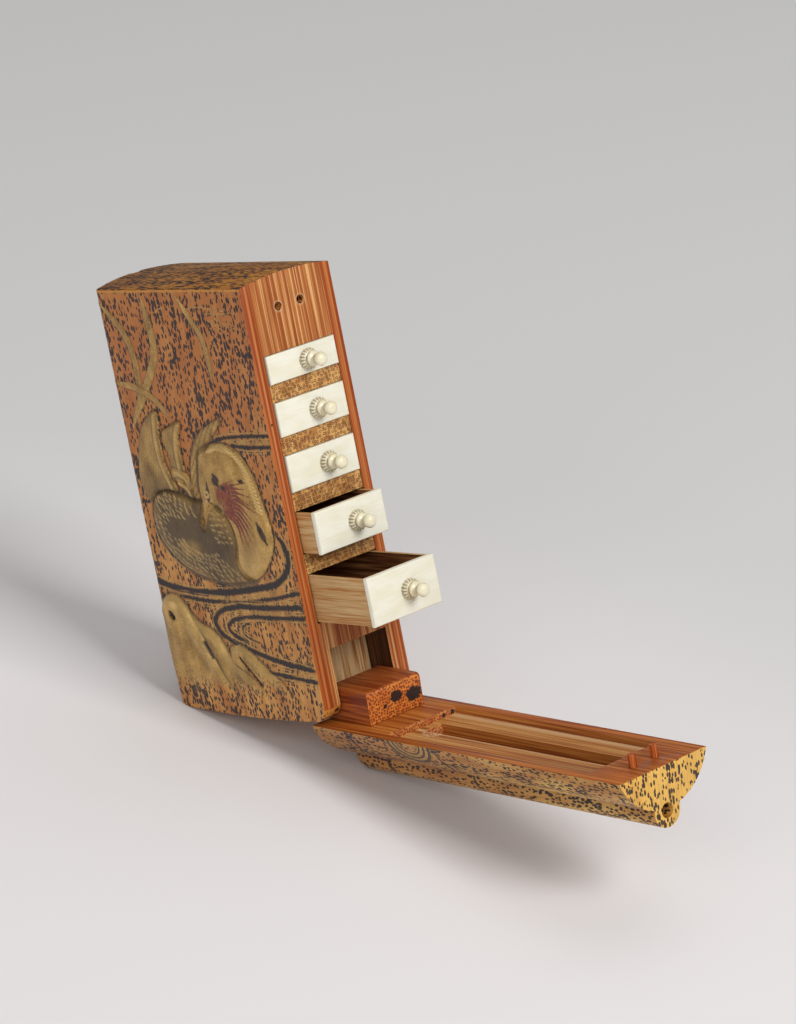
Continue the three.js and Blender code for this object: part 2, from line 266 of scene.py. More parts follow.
class Shader:
    """A material in the making, with the piece's own millimetres and its principled shader at hand."""

    def __init__(self, name: str, axes: Axes) -> None:
        """Starts the material.

        Args:
            name: the material's name.
            axes: the axes that its patterns follow.
        """
        self.material = bpy.data.materials.new(name)
        self.material.use_nodes = True
        self.tree = self.material.node_tree
        self.tree.nodes.clear()
        self.surface = add_node(self.tree, "ShaderNodeBsdfPrincipled")
        add_node(self.tree, "ShaderNodeOutputMaterial", {"Surface": self.surface.outputs[0]})
        self.own = add_node(self.tree, "ShaderNodeMapping", {
            "Vector": add_node(self.tree, "ShaderNodeTexCoord").outputs["Object"],
            "Location": tuple(axes.to_model().inverted().translation),
            "Rotation": (0, axes.lean, 0),
            "Scale": (1 / MM, 1 / MM, 1 / MM),
        }).outputs[0]
        self.x, self.y, self.z = add_node(self.tree, "ShaderNodeSeparateXYZ", {0: self.own}).outputs

    def add(self, kind: Kind, *values: Value, **more: object) -> Socket:
        """Adds one node to this material.

        Args:
            kind: what it is.
            *values: its values or sockets, in the order of the kind's inputs.
            **more: a ramp's stops, or other settings.

        Returns:
            The kind's output.
        """
        name, inputs, output, settings = kind.value
        return add_node(self.tree, name, dict(zip(inputs, values)), **settings, **more).outputs[output]

    def pattern(self, kind: Kind, cell: Triple, nature: float, shift: float = 0.0) -> Socket:
        """Draws a random pattern whose cells have a real size.

        Args:
            kind: noise, about 0.5 in the middle, or spots, as the distance from the nearest one's middle.
            cell: the cells' size along the own x, y and z, in millimetres.
            nature: how much finer detail the noise has, or how randomly the spots lie.
            shift: moves the pattern, so that two of them differ.

        Returns:
            Its value.
        """
        start = (shift, 2 * shift, 3 * shift)
        place = self.add(Kind.CELLS, self.own, start, tuple(1 / size for size in cell))
        return self.add(kind, place, 1.0, nature)

    def oval(self, places: Sequence[Socket], middle: Sequence[float], half: Sequence[float]) -> Socket:
        """Draws an oval: the square of the reach from its middle, which is 1 on its rim.

        Args:
            places: the two places that are measured.
            middle: the oval's middle.
            half: its half sizes.

        Returns:
            The square of the reach.
        """
        squares = []
        for place, centre, size in zip(places, middle, half):
            offset = self.add(Kind.TIMES, self.add(Kind.MINUS, place, centre), 1 / size)
            squares.append(self.add(Kind.TIMES, offset, offset))
        return self.add(Kind.PLUS, *squares)

    def finish(
        self, relief: Socket | None, depth_mm: float, inputs: dict[str, Value],
    ) -> bpy.types.Material:
        """Gives the surface fine relief of a real depth and its other inputs.

        Args:
            relief: the relief's height, if it has any.
            depth_mm: how deep the relief is.
            inputs: the principled shader's inputs.

        Returns:
            The material.
        """
        if relief:
            inputs["Normal"] = self.add(Kind.BUMP, relief, depth_mm * MM, 1.0)
        set_inputs(self.surface, inputs)
        return self.material


class Along(Enum):
    """Which own axis the bamboo's fibres follow, by its place in a vector."""

    X = 0
    Z = 2


@dataclass(frozen=True)
class Speckles:
    """The skin of speckled bamboo: dark dashes along the stem on a tan ground that turns redder one way."""

    along: Along = Along.Z
    ground: tuple[str, str, str] = ("B06E2E", "C4833C", "D69C52")
    red: str = "B4642C"
    red_from: float = 20.0
    red_to: float = 75.0
    ink: tuple[str, str] = ("1C1217", "33221F")
    dash: tuple[float, float] = (0.68, 1.35)
    size: float = 0.45
    scatter: float = 0.85

    def cell(self, across: float, length: float) -> Triple:
        """A cell's size along x, y and z."""
        return (length, across, across) if self.along is Along.X else (across, across, length)

    def draw(self, shader: Shader) -> tuple[Socket, Socket]:
        """Draws the pattern.

        Args:
            shader: the material that it is drawn in.

        Returns:
            The colour, and the dashes' mask.
        """
        add = shader.add
        across, length = self.dash
        distance = shader.pattern(Kind.SPOTS, self.cell(across, length), self.scatter)
        ragged = shader.pattern(Kind.NOISE, self.cell(0.5 * across, 0.5 * length), 1.0, 5.0)
        clusters = shader.pattern(Kind.NOISE, self.cell(3.6, 8.0), 1.0, 31.0)
        columns = shader.pattern(Kind.NOISE, self.cell(1.1, 30.0), 1.0, 17.0)
        reach = add(Kind.MINUS, distance, self.size)
        for pattern, weight in ((ragged, 0.34), (clusters, 0.55), (columns, 0.55)):
            reach = add(Kind.MINUS, reach, add(Kind.TIMES, add(Kind.MINUS, pattern, 0.5), weight))
        mask = add(Kind.EASE, reach, 0.035, -0.035)
        tone = shader.pattern(Kind.NOISE, self.cell(3.0, 14.0), 2.0, 12.0)
        dark, middle, light = self.ground
        ground = add(Kind.RAMP, tone, stops=((0.34, dark), (0.66, light), (0.50, middle)))
        redness = add(Kind.EASE, shader.z, self.red_from, self.red_to, 0.0, 0.55)
        ground = add(Kind.MIX, redness, ground, linear(self.red))
        fibre = add(Kind.EASE, shader.pattern(Kind.NOISE, self.cell(0.2, 6.0), 1.0, 3.0), 0.42, 0.62)
        ground = add(Kind.MIX, add(Kind.TIMES, fibre, 0.22), ground, linear("84501F"))
        share = add(Kind.EASE, shader.pattern(Kind.NOISE, self.cell(0.9, 3.0), 1.0, 7.0), 0.4, 0.6)
        ink = add(Kind.MIX, share, linear(self.ink[0]), linear(self.ink[1]))
        return add(Kind.MIX, add(Kind.TIMES, mask, 0.96), ground, ink), mask


@dataclass(frozen=True)
class BambooSkin:
    """Speckled bamboo skin, scraped, burnished and lacquered: dark dashes under a thin clear coat."""

    name: str = "speckled_bamboo_skin"
    speckles: Speckles = Speckles()
    roughness: float = 0.42
    coat: float = 0.12

    def tinted(self, shader: Shader, colour: Socket) -> Socket:
        """Adds what one piece has beyond its speckles."""
        return colour

    def build(self, axes: Axes) -> bpy.types.Material:
        """Makes the material in a part's own axes.

        Args:
            axes: the part's own axes.

        Returns:
            The material.
        """
        shader = Shader(self.name, axes)
        add = shader.add
        colour, mask = self.speckles.draw(shader)
        return shader.finish(add(Kind.TIMES, mask, 0.4), 0.03, {
            "Base Color": self.tinted(shader, colour),
            "Roughness": add(Kind.EASE, mask, 0.0, 1.0, self.roughness, self.roughness + 0.1),
            "Specular IOR Level": 0.35,
            "Coat Weight": self.coat,
            "Coat Roughness": 0.25,
        })


@dataclass(frozen=True)
class DoorSkin(BambooSkin):
    """The door's skin, with dark lacquer ripples that hang from the rim on its near side."""

    ripple_middle: tuple[float, float] = (DOOR_INNER_X, 26.9)
    ripple_size: tuple[float, float] = (4.4, 5.9)
    bands: tuple[tuple[float, float], ...] = ((8.5, 0.5), (33.9, 0.3))

    def tinted(self, shader: Shader, colour: Socket) -> Socket:
        """Lays the nested ripples and the two slanting bands, with gold between them.

        Args:
            shader: the material that it is drawn in.
            colour: the colour without it.

        Returns:
            The colour with it.
        """
        add = shader.add
        near = add(Kind.EASE, shader.y, 9.0, 8.0)
        oval = shader.oval((shader.x, shader.z), self.ripple_middle, self.ripple_size)
        reach = add(Kind.POWER, oval, 0.5)
        gold = add(Kind.TIMES, add(Kind.EASE, reach, 1.12, 1.06), add(Kind.EASE, reach, 0.42, 0.48))
        colour = add(Kind.MIX, add(Kind.TIMES, add(Kind.TIMES, gold, near), 0.75), colour, linear("B48A4A"))
        marks = [(reach, place, half) for place, half in ((1.0, 0.07), (0.76, 0.05), (0.54, 0.04))]
        slope = add(Kind.TIMES, add(Kind.MINUS, shader.x, DOOR_INNER_X), 0.3)
        slanted = add(Kind.MINUS, shader.z, slope)
        marks += [(slanted, place, half) for place, half in self.bands]
        for value, place, half in marks:
            gap = add(Kind.SIZE, add(Kind.MINUS, value, place))
            dark = add(Kind.TIMES, add(Kind.EASE, gap, 1.25 * half, 0.75 * half), near)
            colour = add(Kind.MIX, add(Kind.TIMES, dark, 0.9), colour, linear("2A2020"))
        return colour


@dataclass(frozen=True)
class BambooHeart:
    """Sawn and oiled bamboo wall: long orange and brown fibres that run along the stem."""

    name: str
    dark: str
    middle: str
    light: str
    along: Triple

    def streaks(self, shader: Shader) -> tuple[Socket, Socket]:
        """Draws the fibres.

        Args:
            shader: the material that they are drawn in.

        Returns:
            The colour, and the fibres' own height.
        """
        add = shader.add
        across = min(self.along)
        fine = tuple(size * (0.5 if size == across else 0.6) for size in self.along)
        wide = tuple(size * (2.0 if size == across else 1.3) for size in self.along)
        plain = shader.pattern(Kind.NOISE, self.along, 2.0)
        fibres = add(Kind.PLUS, plain, shader.pattern(Kind.NOISE, fine, 2.0, 9.0))
        level = add(Kind.TIMES, add(Kind.PLUS, fibres, shader.pattern(Kind.NOISE, wide, 1.0, 21.0)), 1 / 3)
        colour = add(Kind.RAMP, level, stops=((0.41, self.dark), (0.60, self.light), (0.50, self.middle)))
        return colour, fibres

    def tinted(self, shader: Shader, colour: Socket) -> Socket:
        """Adds what one board has beyond its fibres."""
        return colour

    def build(self, axes: Axes) -> bpy.types.Material:
        """Makes the material in a part's own axes.

        Args:
            axes: the part's own axes.

        Returns:
            The material.
        """
        shader = Shader(self.name, axes)
        colour, fibres = self.streaks(shader)
        return shader.finish(fibres, 0.03, {
            "Base Color": self.tinted(shader, colour),
            "Roughness": 0.48,
            "Specular IOR Level": 0.25,
            "Coat Weight": 0.04,
            "Coat Roughness": 0.3,
        })


@dataclass(frozen=True)
class FrontEdge(BambooHeart):
    """The case's front: a pale streaked panel between redder wall edges, two pin holes and a tiny peg."""

    wall: tuple[str, str] = ("8A3A12", "B0622A")
    panel_middle: float = CASE_THICKNESS / 2 + 0.15
    panel_edge: tuple[float, float] = (9.0, 9.2)
    wall_middle: float = 10.4
    holes: tuple[tuple[float, float], ...] = ((8.7, 83.85), (14.4, 83.85))
    peg: tuple[float, float] = (1.35, 61.7)

    def near(self, shader: Shader, place: tuple[float, float], inner: float, outer: float) -> Socket:
        """Masks a small disc on the front."""
        gap = shader.add(Kind.APART, shader.own, (CASE_WIDTH, *place))
        return shader.add(Kind.EASE, gap, outer, inner)

    def tinted(self, shader: Shader, colour: Socket) -> Socket:
        """Reddens the walls' edges, and draws the holes' worn rims and the peg.

        Args:
            shader: the material that it is drawn in.
            colour: the colour without it.

        Returns:
            The colour with it.
        """
        add = shader.add
        aside = add(Kind.SIZE, add(Kind.MINUS, shader.y, self.panel_middle))
        edge = add(Kind.EASE, aside, *self.panel_edge)
        line = shader.pattern(Kind.NOISE, (3.0, 0.35, 50.0), 2.0, 4.0)
        red = add(Kind.MIX, add(Kind.EASE, line, 0.42, 0.62), linear(self.wall[0]), linear(self.wall[1]))
        middle = add(Kind.EASE, add(Kind.SIZE, add(Kind.MINUS, aside, self.wall_middle)), 0.35, 0.1)
        red = add(Kind.MIX, add(Kind.TIMES, middle, 0.35), red, linear("C88A50"))
        colour = add(Kind.MIX, edge, colour, red)
        for place in self.holes:
            worn = add(Kind.TIMES, self.near(shader, place, 1.0, 1.4), 0.4)
            colour = add(Kind.MIX, worn, colour, linear("C9A884"))
        return add(Kind.MIX, self.near(shader, self.peg, 0.16, 0.34), colour, linear("3A241C"))


@dataclass(frozen=True)
class HollowFloor(BambooHeart):
    """The floor of the door's hollow: paler towards its far side, with a worn patch where a knob comes."""

    patch: tuple[float, float] = (23.6, 11.0)
    patch_size: tuple[float, float] = (3.2, 3.0)

    def tinted(self, shader: Shader, colour: Socket) -> Socket:
        """Lightens the far side, paints a highlight along the groove's lip, and shows end grain at the worn
        patch.

        Args:
            shader: the material that it is drawn in.
            colour: the colour without it.

        Returns:
            The colour with it.
        """
        add = shader.add
        far = add(Kind.TIMES, add(Kind.EASE, shader.y, 18.0, 20.2), 0.75)
        colour = add(Kind.MIX, far, colour, linear("D2AC80"))
        # Painted highlight along the groove's near lip.
        lip_highlight = add(Kind.TIMES, add(Kind.EASE, shader.y, 9.55, 9.85), 0.6)
        lip_highlight = add(Kind.TIMES, lip_highlight, add(Kind.EASE, shader.y, 11.0, 10.5))
        colour = add(Kind.MIX, lip_highlight, colour, linear("D2A878"))
        reach = shader.oval((shader.z, shader.y), self.patch, self.patch_size)
        dots = add(Kind.EASE, shader.pattern(Kind.NOISE, (0.5, 0.5, 0.5), 1.0, 5.0), 0.45, 0.55)
        worn = add(Kind.MIX, dots, linear("D6AE80"), linear("A8673A"))
        return add(Kind.MIX, add(Kind.EASE, reach, 1.3, 0.5), colour, worn)


@dataclass(frozen=True)
class EndGrain:
    """Bamboo cut across the stem: a small dark ring or dot for each bundle of fibres."""

    name: str
    fibres: Along
    ground: str = "CC9A58"
    shade: str = "A8723A"
    ring: str = "4A2610"
    bundle: float = 0.78
    scatter: float = 0.62
    hollow: bool = True
    knots: tuple[tuple[float, float, float, float], ...] = ()

    def build(self, axes: Axes) -> bpy.types.Material:
        """Makes the material in a part's own axes.

        Args:
            axes: the part's own axes.

        Returns:
            The material.
        """
        shader = Shader(self.name, axes)
        add = shader.add
        places = (shader.y, shader.z if self.fibres is Along.X else shader.x)
        plan = add(Kind.PLACE, *(add(Kind.TIMES, place, 1 / self.bundle) for place in places))
        distance = add(Kind.PLANE_SPOTS, plan, 1.0, self.scatter)
        mark = add(Kind.EASE, distance, 0.44, 0.34)
        if self.hollow:
            mark = add(Kind.TIMES, mark, add(Kind.EASE, distance, 0.12, 0.24))
        patchy = add(Kind.EASE, shader.pattern(Kind.NOISE, (0.8, 0.8, 0.8), 2.0, 11.0), 0.26, 0.50)
        mark = add(Kind.TIMES, mark, patchy)
        tone = add(Kind.EASE, shader.pattern(Kind.NOISE, (2.4, 2.0, 2.4), 2.0, 5.0), 0.36, 0.64)
        ground = add(Kind.MIX, tone, linear(self.ground), linear(self.shade))
        colour = add(Kind.MIX, add(Kind.TIMES, mark, 0.9), ground, linear(self.ring))
        rough = shader.pattern(Kind.NOISE, (0.7, 0.7, 0.7), 2.0, 3.0)
        ragged = add(Kind.TIMES, add(Kind.MINUS, rough, 0.5), 2.2)
        for knot in self.knots:
            reach = add(Kind.PLUS, shader.oval(places, knot[:2], knot[2:]), ragged)
            colour = add(Kind.MIX, add(Kind.EASE, reach, 1.15, 0.8), colour, linear("2A1913"))
        return shader.finish(add(Kind.MINUS, 1.0, mark), 0.03, {
            "Base Color": colour, "Roughness": 0.55, "Specular IOR Level": 0.35,
        })


@dataclass(frozen=True)
class PolishedIvory:
    """Turned and polished ivory: cream white, faintly lit from within, and browner where its mesh marks
    grooves.
    """

    name: str
    light: str = "E8E5D5"
    shade: str = "DED8BC"
    groove_darkening: float = 0.8

    def build(self, axes: Axes) -> bpy.types.Material:
        """Makes the material in a part's own axes.

        Args:
            axes: the part's own axes.

        Returns:
            The material.
        """
        shader = Shader(self.name, axes)
        add = shader.add
        cloud = add(Kind.EASE, shader.pattern(Kind.NOISE, (4.0, 6.0, 2.5), 2.0, 2.0), 0.35, 0.7)
        grain = add(Kind.EASE, shader.pattern(Kind.NOISE, (0.6, 5.0, 0.35), 2.0, 8.0), 0.4, 0.7)
        colour = add(Kind.MIX, add(Kind.TIMES, cloud, 0.6), linear(self.light), linear(self.shade))
        colour = add(Kind.MIX, add(Kind.TIMES, grain, 0.18), colour, linear("D2C69E"))
        # Darker brown in the knob's grooves and between its petals, as its mesh marks them.
        worn = add(Kind.TIMES, add(Kind.LAID, attribute_name=GROOVE_DARKENING), self.groove_darkening)
        colour = add(Kind.MIX, worn, colour, linear("6E5630"))
        return shader.finish(None, 0.0, {
            "Base Color": colour,
            "Roughness": 0.32,
            "Subsurface Weight": 0.1,
            "Subsurface Radius": (1.0, 0.8, 0.5),
            "Subsurface Scale": 0.5 * MM,
            "Coat Weight": 0.15,
            "Coat Roughness": 0.15,
        })


@dataclass(frozen=True)
class GoldLacquer:
    """Gold powder lacquer over speckled bamboo, with dark lacquer lines and the picture's painted shadows
    and highlights, read from the skin's own masks.
    """

    name: str = "gold_lacquer_picture"
    powder: tuple[str, str, str] = ("705228", "AE884A", "D6AC64")
    shine: float = 0.4

    def build(self, axes: Axes) -> bpy.types.Material:
        """Makes the material in a part's own axes.

        Args:
            axes: the part's own axes.

        Returns:
            The material.
        """
        shader = Shader(self.name, axes)
        add = shader.add
        masks = {mask: add(Kind.LAID, attribute_name=mask.value) for mask in Mask}
        colour, dashes = Speckles().draw(shader)
        powder = shader.pattern(Kind.NOISE, (0.35, 0.35, 0.35), 3.0, 4.0)
        cloud = shader.pattern(Kind.NOISE, (3.0, 3.0, 5.0), 3.0, 15.0)
        thin, middle, thick = self.powder
        level = add(Kind.PLUS, add(Kind.TIMES, powder, 0.4), add(Kind.TIMES, cloud, 0.6))
        gold = add(Kind.RAMP, level, stops=((0.30, thin), (0.70, thick), (0.50, middle)))
        worn = add(Kind.PLUS, masks[Mask.GOLD], add(Kind.TIMES, add(Kind.MINUS, powder, 0.5), 1.4))
        gilt = add(Kind.EASE, worn, 0.35, 0.60)
        colour = add(Kind.MIX, gilt, colour, gold)
        # The dark mask also carries the picture's painted shadows, and the pale one its painted highlights.
        for mask, lacquer in ((Mask.RED, "7C3424"), (Mask.DARK, "1E1615"), (Mask.PALE, "E0BC78")):
            colour = add(Kind.MIX, masks[mask], colour, linear(lacquer))
        rubbed = add(Kind.TIMES, add(Kind.EASE, shader.z, 88.8, 89.1), 0.75)
        colour = add(Kind.MIX, rubbed, colour, linear("D2903A"))
        bare = add(Kind.MINUS, 1.0, masks[Mask.DARK])
        metal = add(Kind.TIMES, add(Kind.TIMES, gilt, bare), self.shine)
        return shader.finish(add(Kind.PLUS, add(Kind.TIMES, powder, 0.4), dashes), 0.02, {
            "Base Color": colour,
            "Metallic": metal,
            "Roughness": add(Kind.EASE, gilt, 0.0, 1.0, 0.42, 0.36),
            "Specular IOR Level": 0.35,
            "Coat Weight": 0.12,
            "Coat Roughness": 0.2,
        })


class Mask(Enum):
    """What the lacquerer laid on the skin, with the picture's painted shadows in the dark one and painted
    highlights in the pale one, each kept as an attribute of its mesh.
    """

    GOLD = "gold"
    DARK = "dark"
    RED = "red"
    PALE = "pale"


def ease(value: np.ndarray, low: float, high: float) -> np.ndarray:
    """Eases values from 0 at low to 1 at high."""
    t = np.clip((value - low) / (high - low), 0, 1)
    return t * t * (3 - 2 * t)


def smooth_line(points: Points, closed: bool = False, steps: int = 8) -> np.ndarray:
    """Draws a smooth curve through points.

    Args:
        points: the points that it passes.
        closed: whether it comes back to its start.
        steps: straight pieces between two points.

    Returns:
        The curve's points, one row each.
    """
    p = np.array(points, float)
    ends = [p[-1:], p, p[:2]] if closed else [2 * p[:1] - p[1:2], p, 2 * p[-1:] - p[-2:-1]]
    q = np.concatenate(ends)
    t = np.linspace(0, 1, steps, endpoint=False)[:, None]
    curve = []
    for a, b, c, d in zip(q, q[1:], q[2:], q[3:]):
        square, cube = a - 2.5 * b + 2 * c - d / 2, (d - a) / 2 + 1.5 * (b - c)
        curve.append(b + t * (c - a) / 2 + t**2 * square + t**3 * cube)
    if not closed:
        curve.append(p[-1:])
    return np.concatenate(curve)


def line_distance(x: np.ndarray, z: np.ndarray, line: np.ndarray) -> tuple[np.ndarray, np.ndarray]:
    """Measures how far points are from a line of straight pieces.

    Args:
        x: the points' x.
        z: the points' z.
        line: the line's points.

    Returns:
        The distance, and the share of the line's length at the nearest place.
    """
    best = np.full(x.shape, 1e9)
    share = np.zeros(x.shape)
    lengths = np.hypot(*(line[1:] - line[:-1]).T)
    starts = np.concatenate([[0], np.cumsum(lengths)])
    for a, b, length, start in zip(line, line[1:], lengths, starts):
        if length < 1e-9:
            continue
        way = (b - a) / length
        t = np.clip((x - a[0]) * way[0] + (z - a[1]) * way[1], 0, length)
        gap = np.hypot(x - a[0] - t * way[0], z - a[1] - t * way[1])
        near = gap < best
        best = np.where(near, gap, best)
        share = np.where(near, (start + t) / starts[-1], share)
    return best, share


def depth_inside(x: np.ndarray, z: np.ndarray, outline: Points) -> np.ndarray:
    """Measures how deep points lie inside a smooth closed outline; outside it is below 0.

    Args:
        x: the points' x.
        z: the points' z.
        outline: the outline's points.

    Returns:
        The depth inside, and below 0 outside.
    """
    loop = smooth_line(outline, closed=True, steps=5)
    closed = np.concatenate([loop, loop[:1]])
    gap, _ = line_distance(x, z, closed)
    inside = np.zeros(x.shape, bool)
    for a, b in zip(closed, closed[1:]):
        crosses = (a[1] > z) != (b[1] > z)
        rise = b[1] - a[1] if b[1] != a[1] else 1e-9
        inside ^= crosses & (x < a[0] + (z - a[1]) * (b[0] - a[0]) / rise)
    return np.where(inside, gap, -gap)


@dataclass
class Picture:
    """The raised lacquer picture: a mandarin duck asleep among reeds, above a stream and gold rocks."""

    x: np.ndarray
    z: np.ndarray
    height: np.ndarray = field(init=False)
    masks: dict[Mask, np.ndarray] = field(init=False)
    random: np.random.Generator = field(init=False)

    def __post_init__(self) -> None:
        """Starts with a bare skin."""
        self.height = np.zeros(self.x.shape)
        self.masks = {mask: np.zeros(self.x.shape) for mask in Mask}
        self.random = np.random.default_rng(7)

    def lay(self, mask: Mask, share: np.ndarray) -> None:
        """Lays one lacquer over what is there, and takes the others away under it."""
        for other, value in self.masks.items():
            self.masks[other] = np.maximum(value, share) if other is mask else value * (1 - share)

    def tint(self, mask: Mask, share: np.ndarray) -> None:
        """Adds a thin lacquer, and also lays in the painted shadows and highlights, leaving the others in
        place.
        """
        self.masks[mask] = np.maximum(self.masks[mask], share)

    def shade(self, depth: np.ndarray, strength: float, reach: float, end: float) -> None:
        """Paints a shadow on the skin just outside an outline, from its reach up to its end."""
        self.tint(Mask.DARK, strength * ease(depth, -reach, -end) * (depth < 0))

    def cover(self, over: np.ndarray, form: np.ndarray) -> None:
        """Raises a form in place of what it covers."""
        self.height = np.maximum(self.height * (1 - over), form)

    def near(self, points: Points) -> tuple[np.ndarray, np.ndarray]:
        """Measures the distance from a smooth line, and the share of its length there."""
        return line_distance(self.x, self.z, smooth_line(points))

    def inside(self, outline: Points) -> np.ndarray:
        """Measures the depth inside a smooth closed outline."""
        return depth_inside(self.x, self.z, outline)

    def swell(
        self, middle: tuple[float, float], turn_deg: float, half: tuple[float, float], full: float,
    ) -> tuple[np.ndarray, np.ndarray, np.ndarray]:
        """Measures a turned dome.

        Args:
            middle: its middle.
            turn_deg: how far its length is turned from the x direction.
            half: its half length and half width.
            full: how full it is, where 1 falls to nothing on the rim.

        Returns:
            The place along it and across it, and its height there.
        """
        x, z = self.x - middle[0], self.z - middle[1]
        cosine, sine = math.cos(math.radians(turn_deg)), math.sin(math.radians(turn_deg))
        along, across = x * cosine + z * sine, -x * sine + z * cosine
        square = full - (along / half[0]) ** 2 - (across / half[1]) ** 2
        return along, across, np.sqrt(np.clip(square, 0, 1))

    def stroke(
        self, points: Points, width: float, mask: Mask, strength: float = 1.0, taper: float = 0.3,
    ) -> None:
        """Draws a brush stroke that narrows to its ends.

        Args:
            points: what it passes.
            width: its full width.
            mask: its lacquer.
            strength: how fully it covers.
            taper: the share of its length over which each end narrows.
        """
        gap, share = self.near(points)
        half = width / 2 * np.clip(np.minimum(share, 1 - share) / taper, 0.12, 1) ** 0.6
        self.lay(mask, strength * ease(half - gap, -0.12, 0.14))

    def draw(self) -> None:
        """Draws everything, from what lies furthest back to what lies on top."""
        self.reeds()
        self.stream()
        self.rocks()
        self.tail()
        self.body()
        self.head()

    def reeds(self) -> None:
        """Four bent reed leaves behind the duck."""
        leaves = (
            (((0.7, 86.5), (6.5, 80.6), (8.4, 74.4), (7.5, 66.8), (5.6, 62.0)), 1.7),
            (((14.7, 88.4), (15.5, 82.3), (15.6, 77.1), (12.6, 71.8), (6.8, 65.2), (3.4, 60.8)), 2.1),
            (((26.3, 88.2), (29.6, 83.3), (32.3, 78.6), (32.8, 70.5)), 1.4),
            (((0.1, 70.1), (6.6, 69.1), (11.9, 66.9), (16.5, 62.8)), 1.4),
        )
        grasses = (
            ((17.1, 84.4), (20.5, 85.6), (23.8, 85.7)),
            ((27.5, 85.2), (32.0, 85.9), (36.4, 85.5), (42.6, 84.8)),
            ((34.0, 83.8), (37.4, 82.0), (41.3, 80.3)), ((33.5, 84.6), (38.0, 84.4), (44.0, 84.6)),
            ((35.0, 82.6), (38.0, 83.2), (40.4, 82.2), (45.8, 80.8)),
            ((36.0, 86.2), (37.6, 84.0), (38.4, 81.6)),
        )
        for points in grasses:
            self.stroke(points, 0.3, Mask.GOLD, 0.9)
        for points, width in leaves:
            self.stroke(points, width + 0.5, Mask.DARK, 0.5, 0.2)
            self.stroke(points, width, Mask.GOLD, 1.0, 0.2)
            self.height += 0.07 * ease(width / 2 - self.near(points)[0], 0, 0.3)

    def stream(self) -> None:
        """Dark bands of water, each with a thin gold line on either side."""
        bands = (
            (((48, 59.9), (36.0, 59.4), (30.0, 58.6), (25.0, 56.7)), 0.7),
            (((48, 57.6), (40.0, 57.3), (34.0, 57.6)), 0.75),
            (((-0.6, 28.2), (6.0, 26.7), (14.0, 26.1), (24.0, 26.6), (33.0, 27.8), (40.5, 29.4),
              (44.9, 33.2), (44.7, 37.3), (42.6, 39.6)), 1.4),
            (((6.8, 25.0), (16.0, 24.4), (26.8, 24.6), (37.0, 25.8), (48.0, 27.8)), 0.8),
            (((48.0, 24.6), (36.0, 23.9), (26.0, 23.6), (20.0, 22.4), (17.3, 20.0), (19.2, 17.3),
              (24.4, 15.3), (35.0, 12.8), (48.0, 11.2)), 1.1),
            (((48.0, 22.3), (38.0, 21.9), (29.0, 21.6), (23.4, 20.6), (21.4, 18.9), (23.4, 17.2),
              (27.4, 16.2)), 0.9),
            (((31.0, 10.2), (38.0, 9.6), (48.0, 8.9)), 0.8),
            (((28.8, 20.4), (26.2, 19.4), (26.0, 17.9), (28.0, 16.9), (31.0, 16.2)), 0.35),
        )
        for points, width in bands:
            gap, share = self.near(points)
            end = ease(np.minimum(share, 1 - share), -0.02, 0.06)
            band = ease(width / 2 * end - gap, -0.14, 0.14)
            edge = ease(0.12 - np.abs(gap - width / 2 - 0.30), -0.1, 0.08) * end
            second = ease(0.08 - np.abs(gap - width / 2 - 0.85), -0.1, 0.08) * end * 0.75
            self.lay(Mask.DARK, band)
            self.lay(Mask.GOLD, np.maximum(edge, second))

    def rocks(self) -> None:
        """Three rocks in gold that thins out towards the foot, with painted highlights on their ridges and
        crest and a painted shadow round them.
        """
        shapes = (
            (((20.0, 12.2), (22.6, 15.3), (26.0, 14.8), (29.3, 12.4), (32.3, 10.1), (35.1, 8.4),
              (37.3, 6.3), (42.4, 1.9), (42.0, -3.0), (24.0, -3.0)), 0.55, 0.75),
            (((8.0, 20.4), (12.3, 19.4), (15.4, 18.2), (17.8, 16.6), (19.8, 13.2), (21.3, 11.1),
              (26.6, 8.2), (31.0, 3.0), (30.0, -3.0), (8.0, -3.0)), 0.8, 1.0),
            (((-3.2, -3.0), (-3.2, 17.6), (-1.6, 20.6), (0.2, 23.2), (2.6, 24.8), (5.0, 25.2), (7.3, 24.4),
              (9.2, 22.2), (10.4, 20.2), (13.4, 16.0), (17.0, 9.0), (20.0, 3.0), (20.0, -3.0)), 0.95, 1.0),
        )
        low = ease(self.z, 1.0, 13.0)
        corner = 0.3 + 0.7 * ease(self.x, -0.6, 2.2)
        for outline, rise, gold in shapes:
            depth = self.inside(outline)
            shoulder = ease(depth, -0.1, 1.5)
            form = rise * shoulder * (0.25 + 0.75 * low) * corner
            self.cover(ease(depth, -0.1, 0.3), form)
            # Painted shadow on the skin just outside each rock.
            self.tint(Mask.DARK, 0.75 * ease(depth, -1.0, -0.15) * (depth < 0) * low)
            self.lay(Mask.GOLD, gold * ease(depth, -0.15, 0.1) * ease(self.z, 1.5, 12.5))
            # Painted highlight along each rock's upper slopes, inside its outline.
            ridge_highlight = ease(depth, 0.1, 0.5) * (1 - ease(depth, 0.7, 2.6))
            self.tint(Mask.PALE, 0.5 * gold * ridge_highlight * low * corner)
        self.groove(((6.2, 19.8), (8.6, 15.6), (11.6, 11.0), (14.0, 7.6)), 1.5, 0.24, 0.3)
        self.groove(((0.6, 21.0), (2.0, 16.0), (2.6, 9.0)), 1.3, 0.2, 0.2)
        self.groove(((17.6, 13.6), (20.6, 10.0), (24.0, 7.2)), 1.2, 0.22, 0.5)
        self.hole(((3.6, 21.0), (4.2, 20.5)), 1.5)
        self.hole(((12.9, 15.3), (14.6, 12.5)), 0.95)
        self.hole(((23.6, 12.8), (26.3, 9.9), (29.0, 7.2)), 0.55)
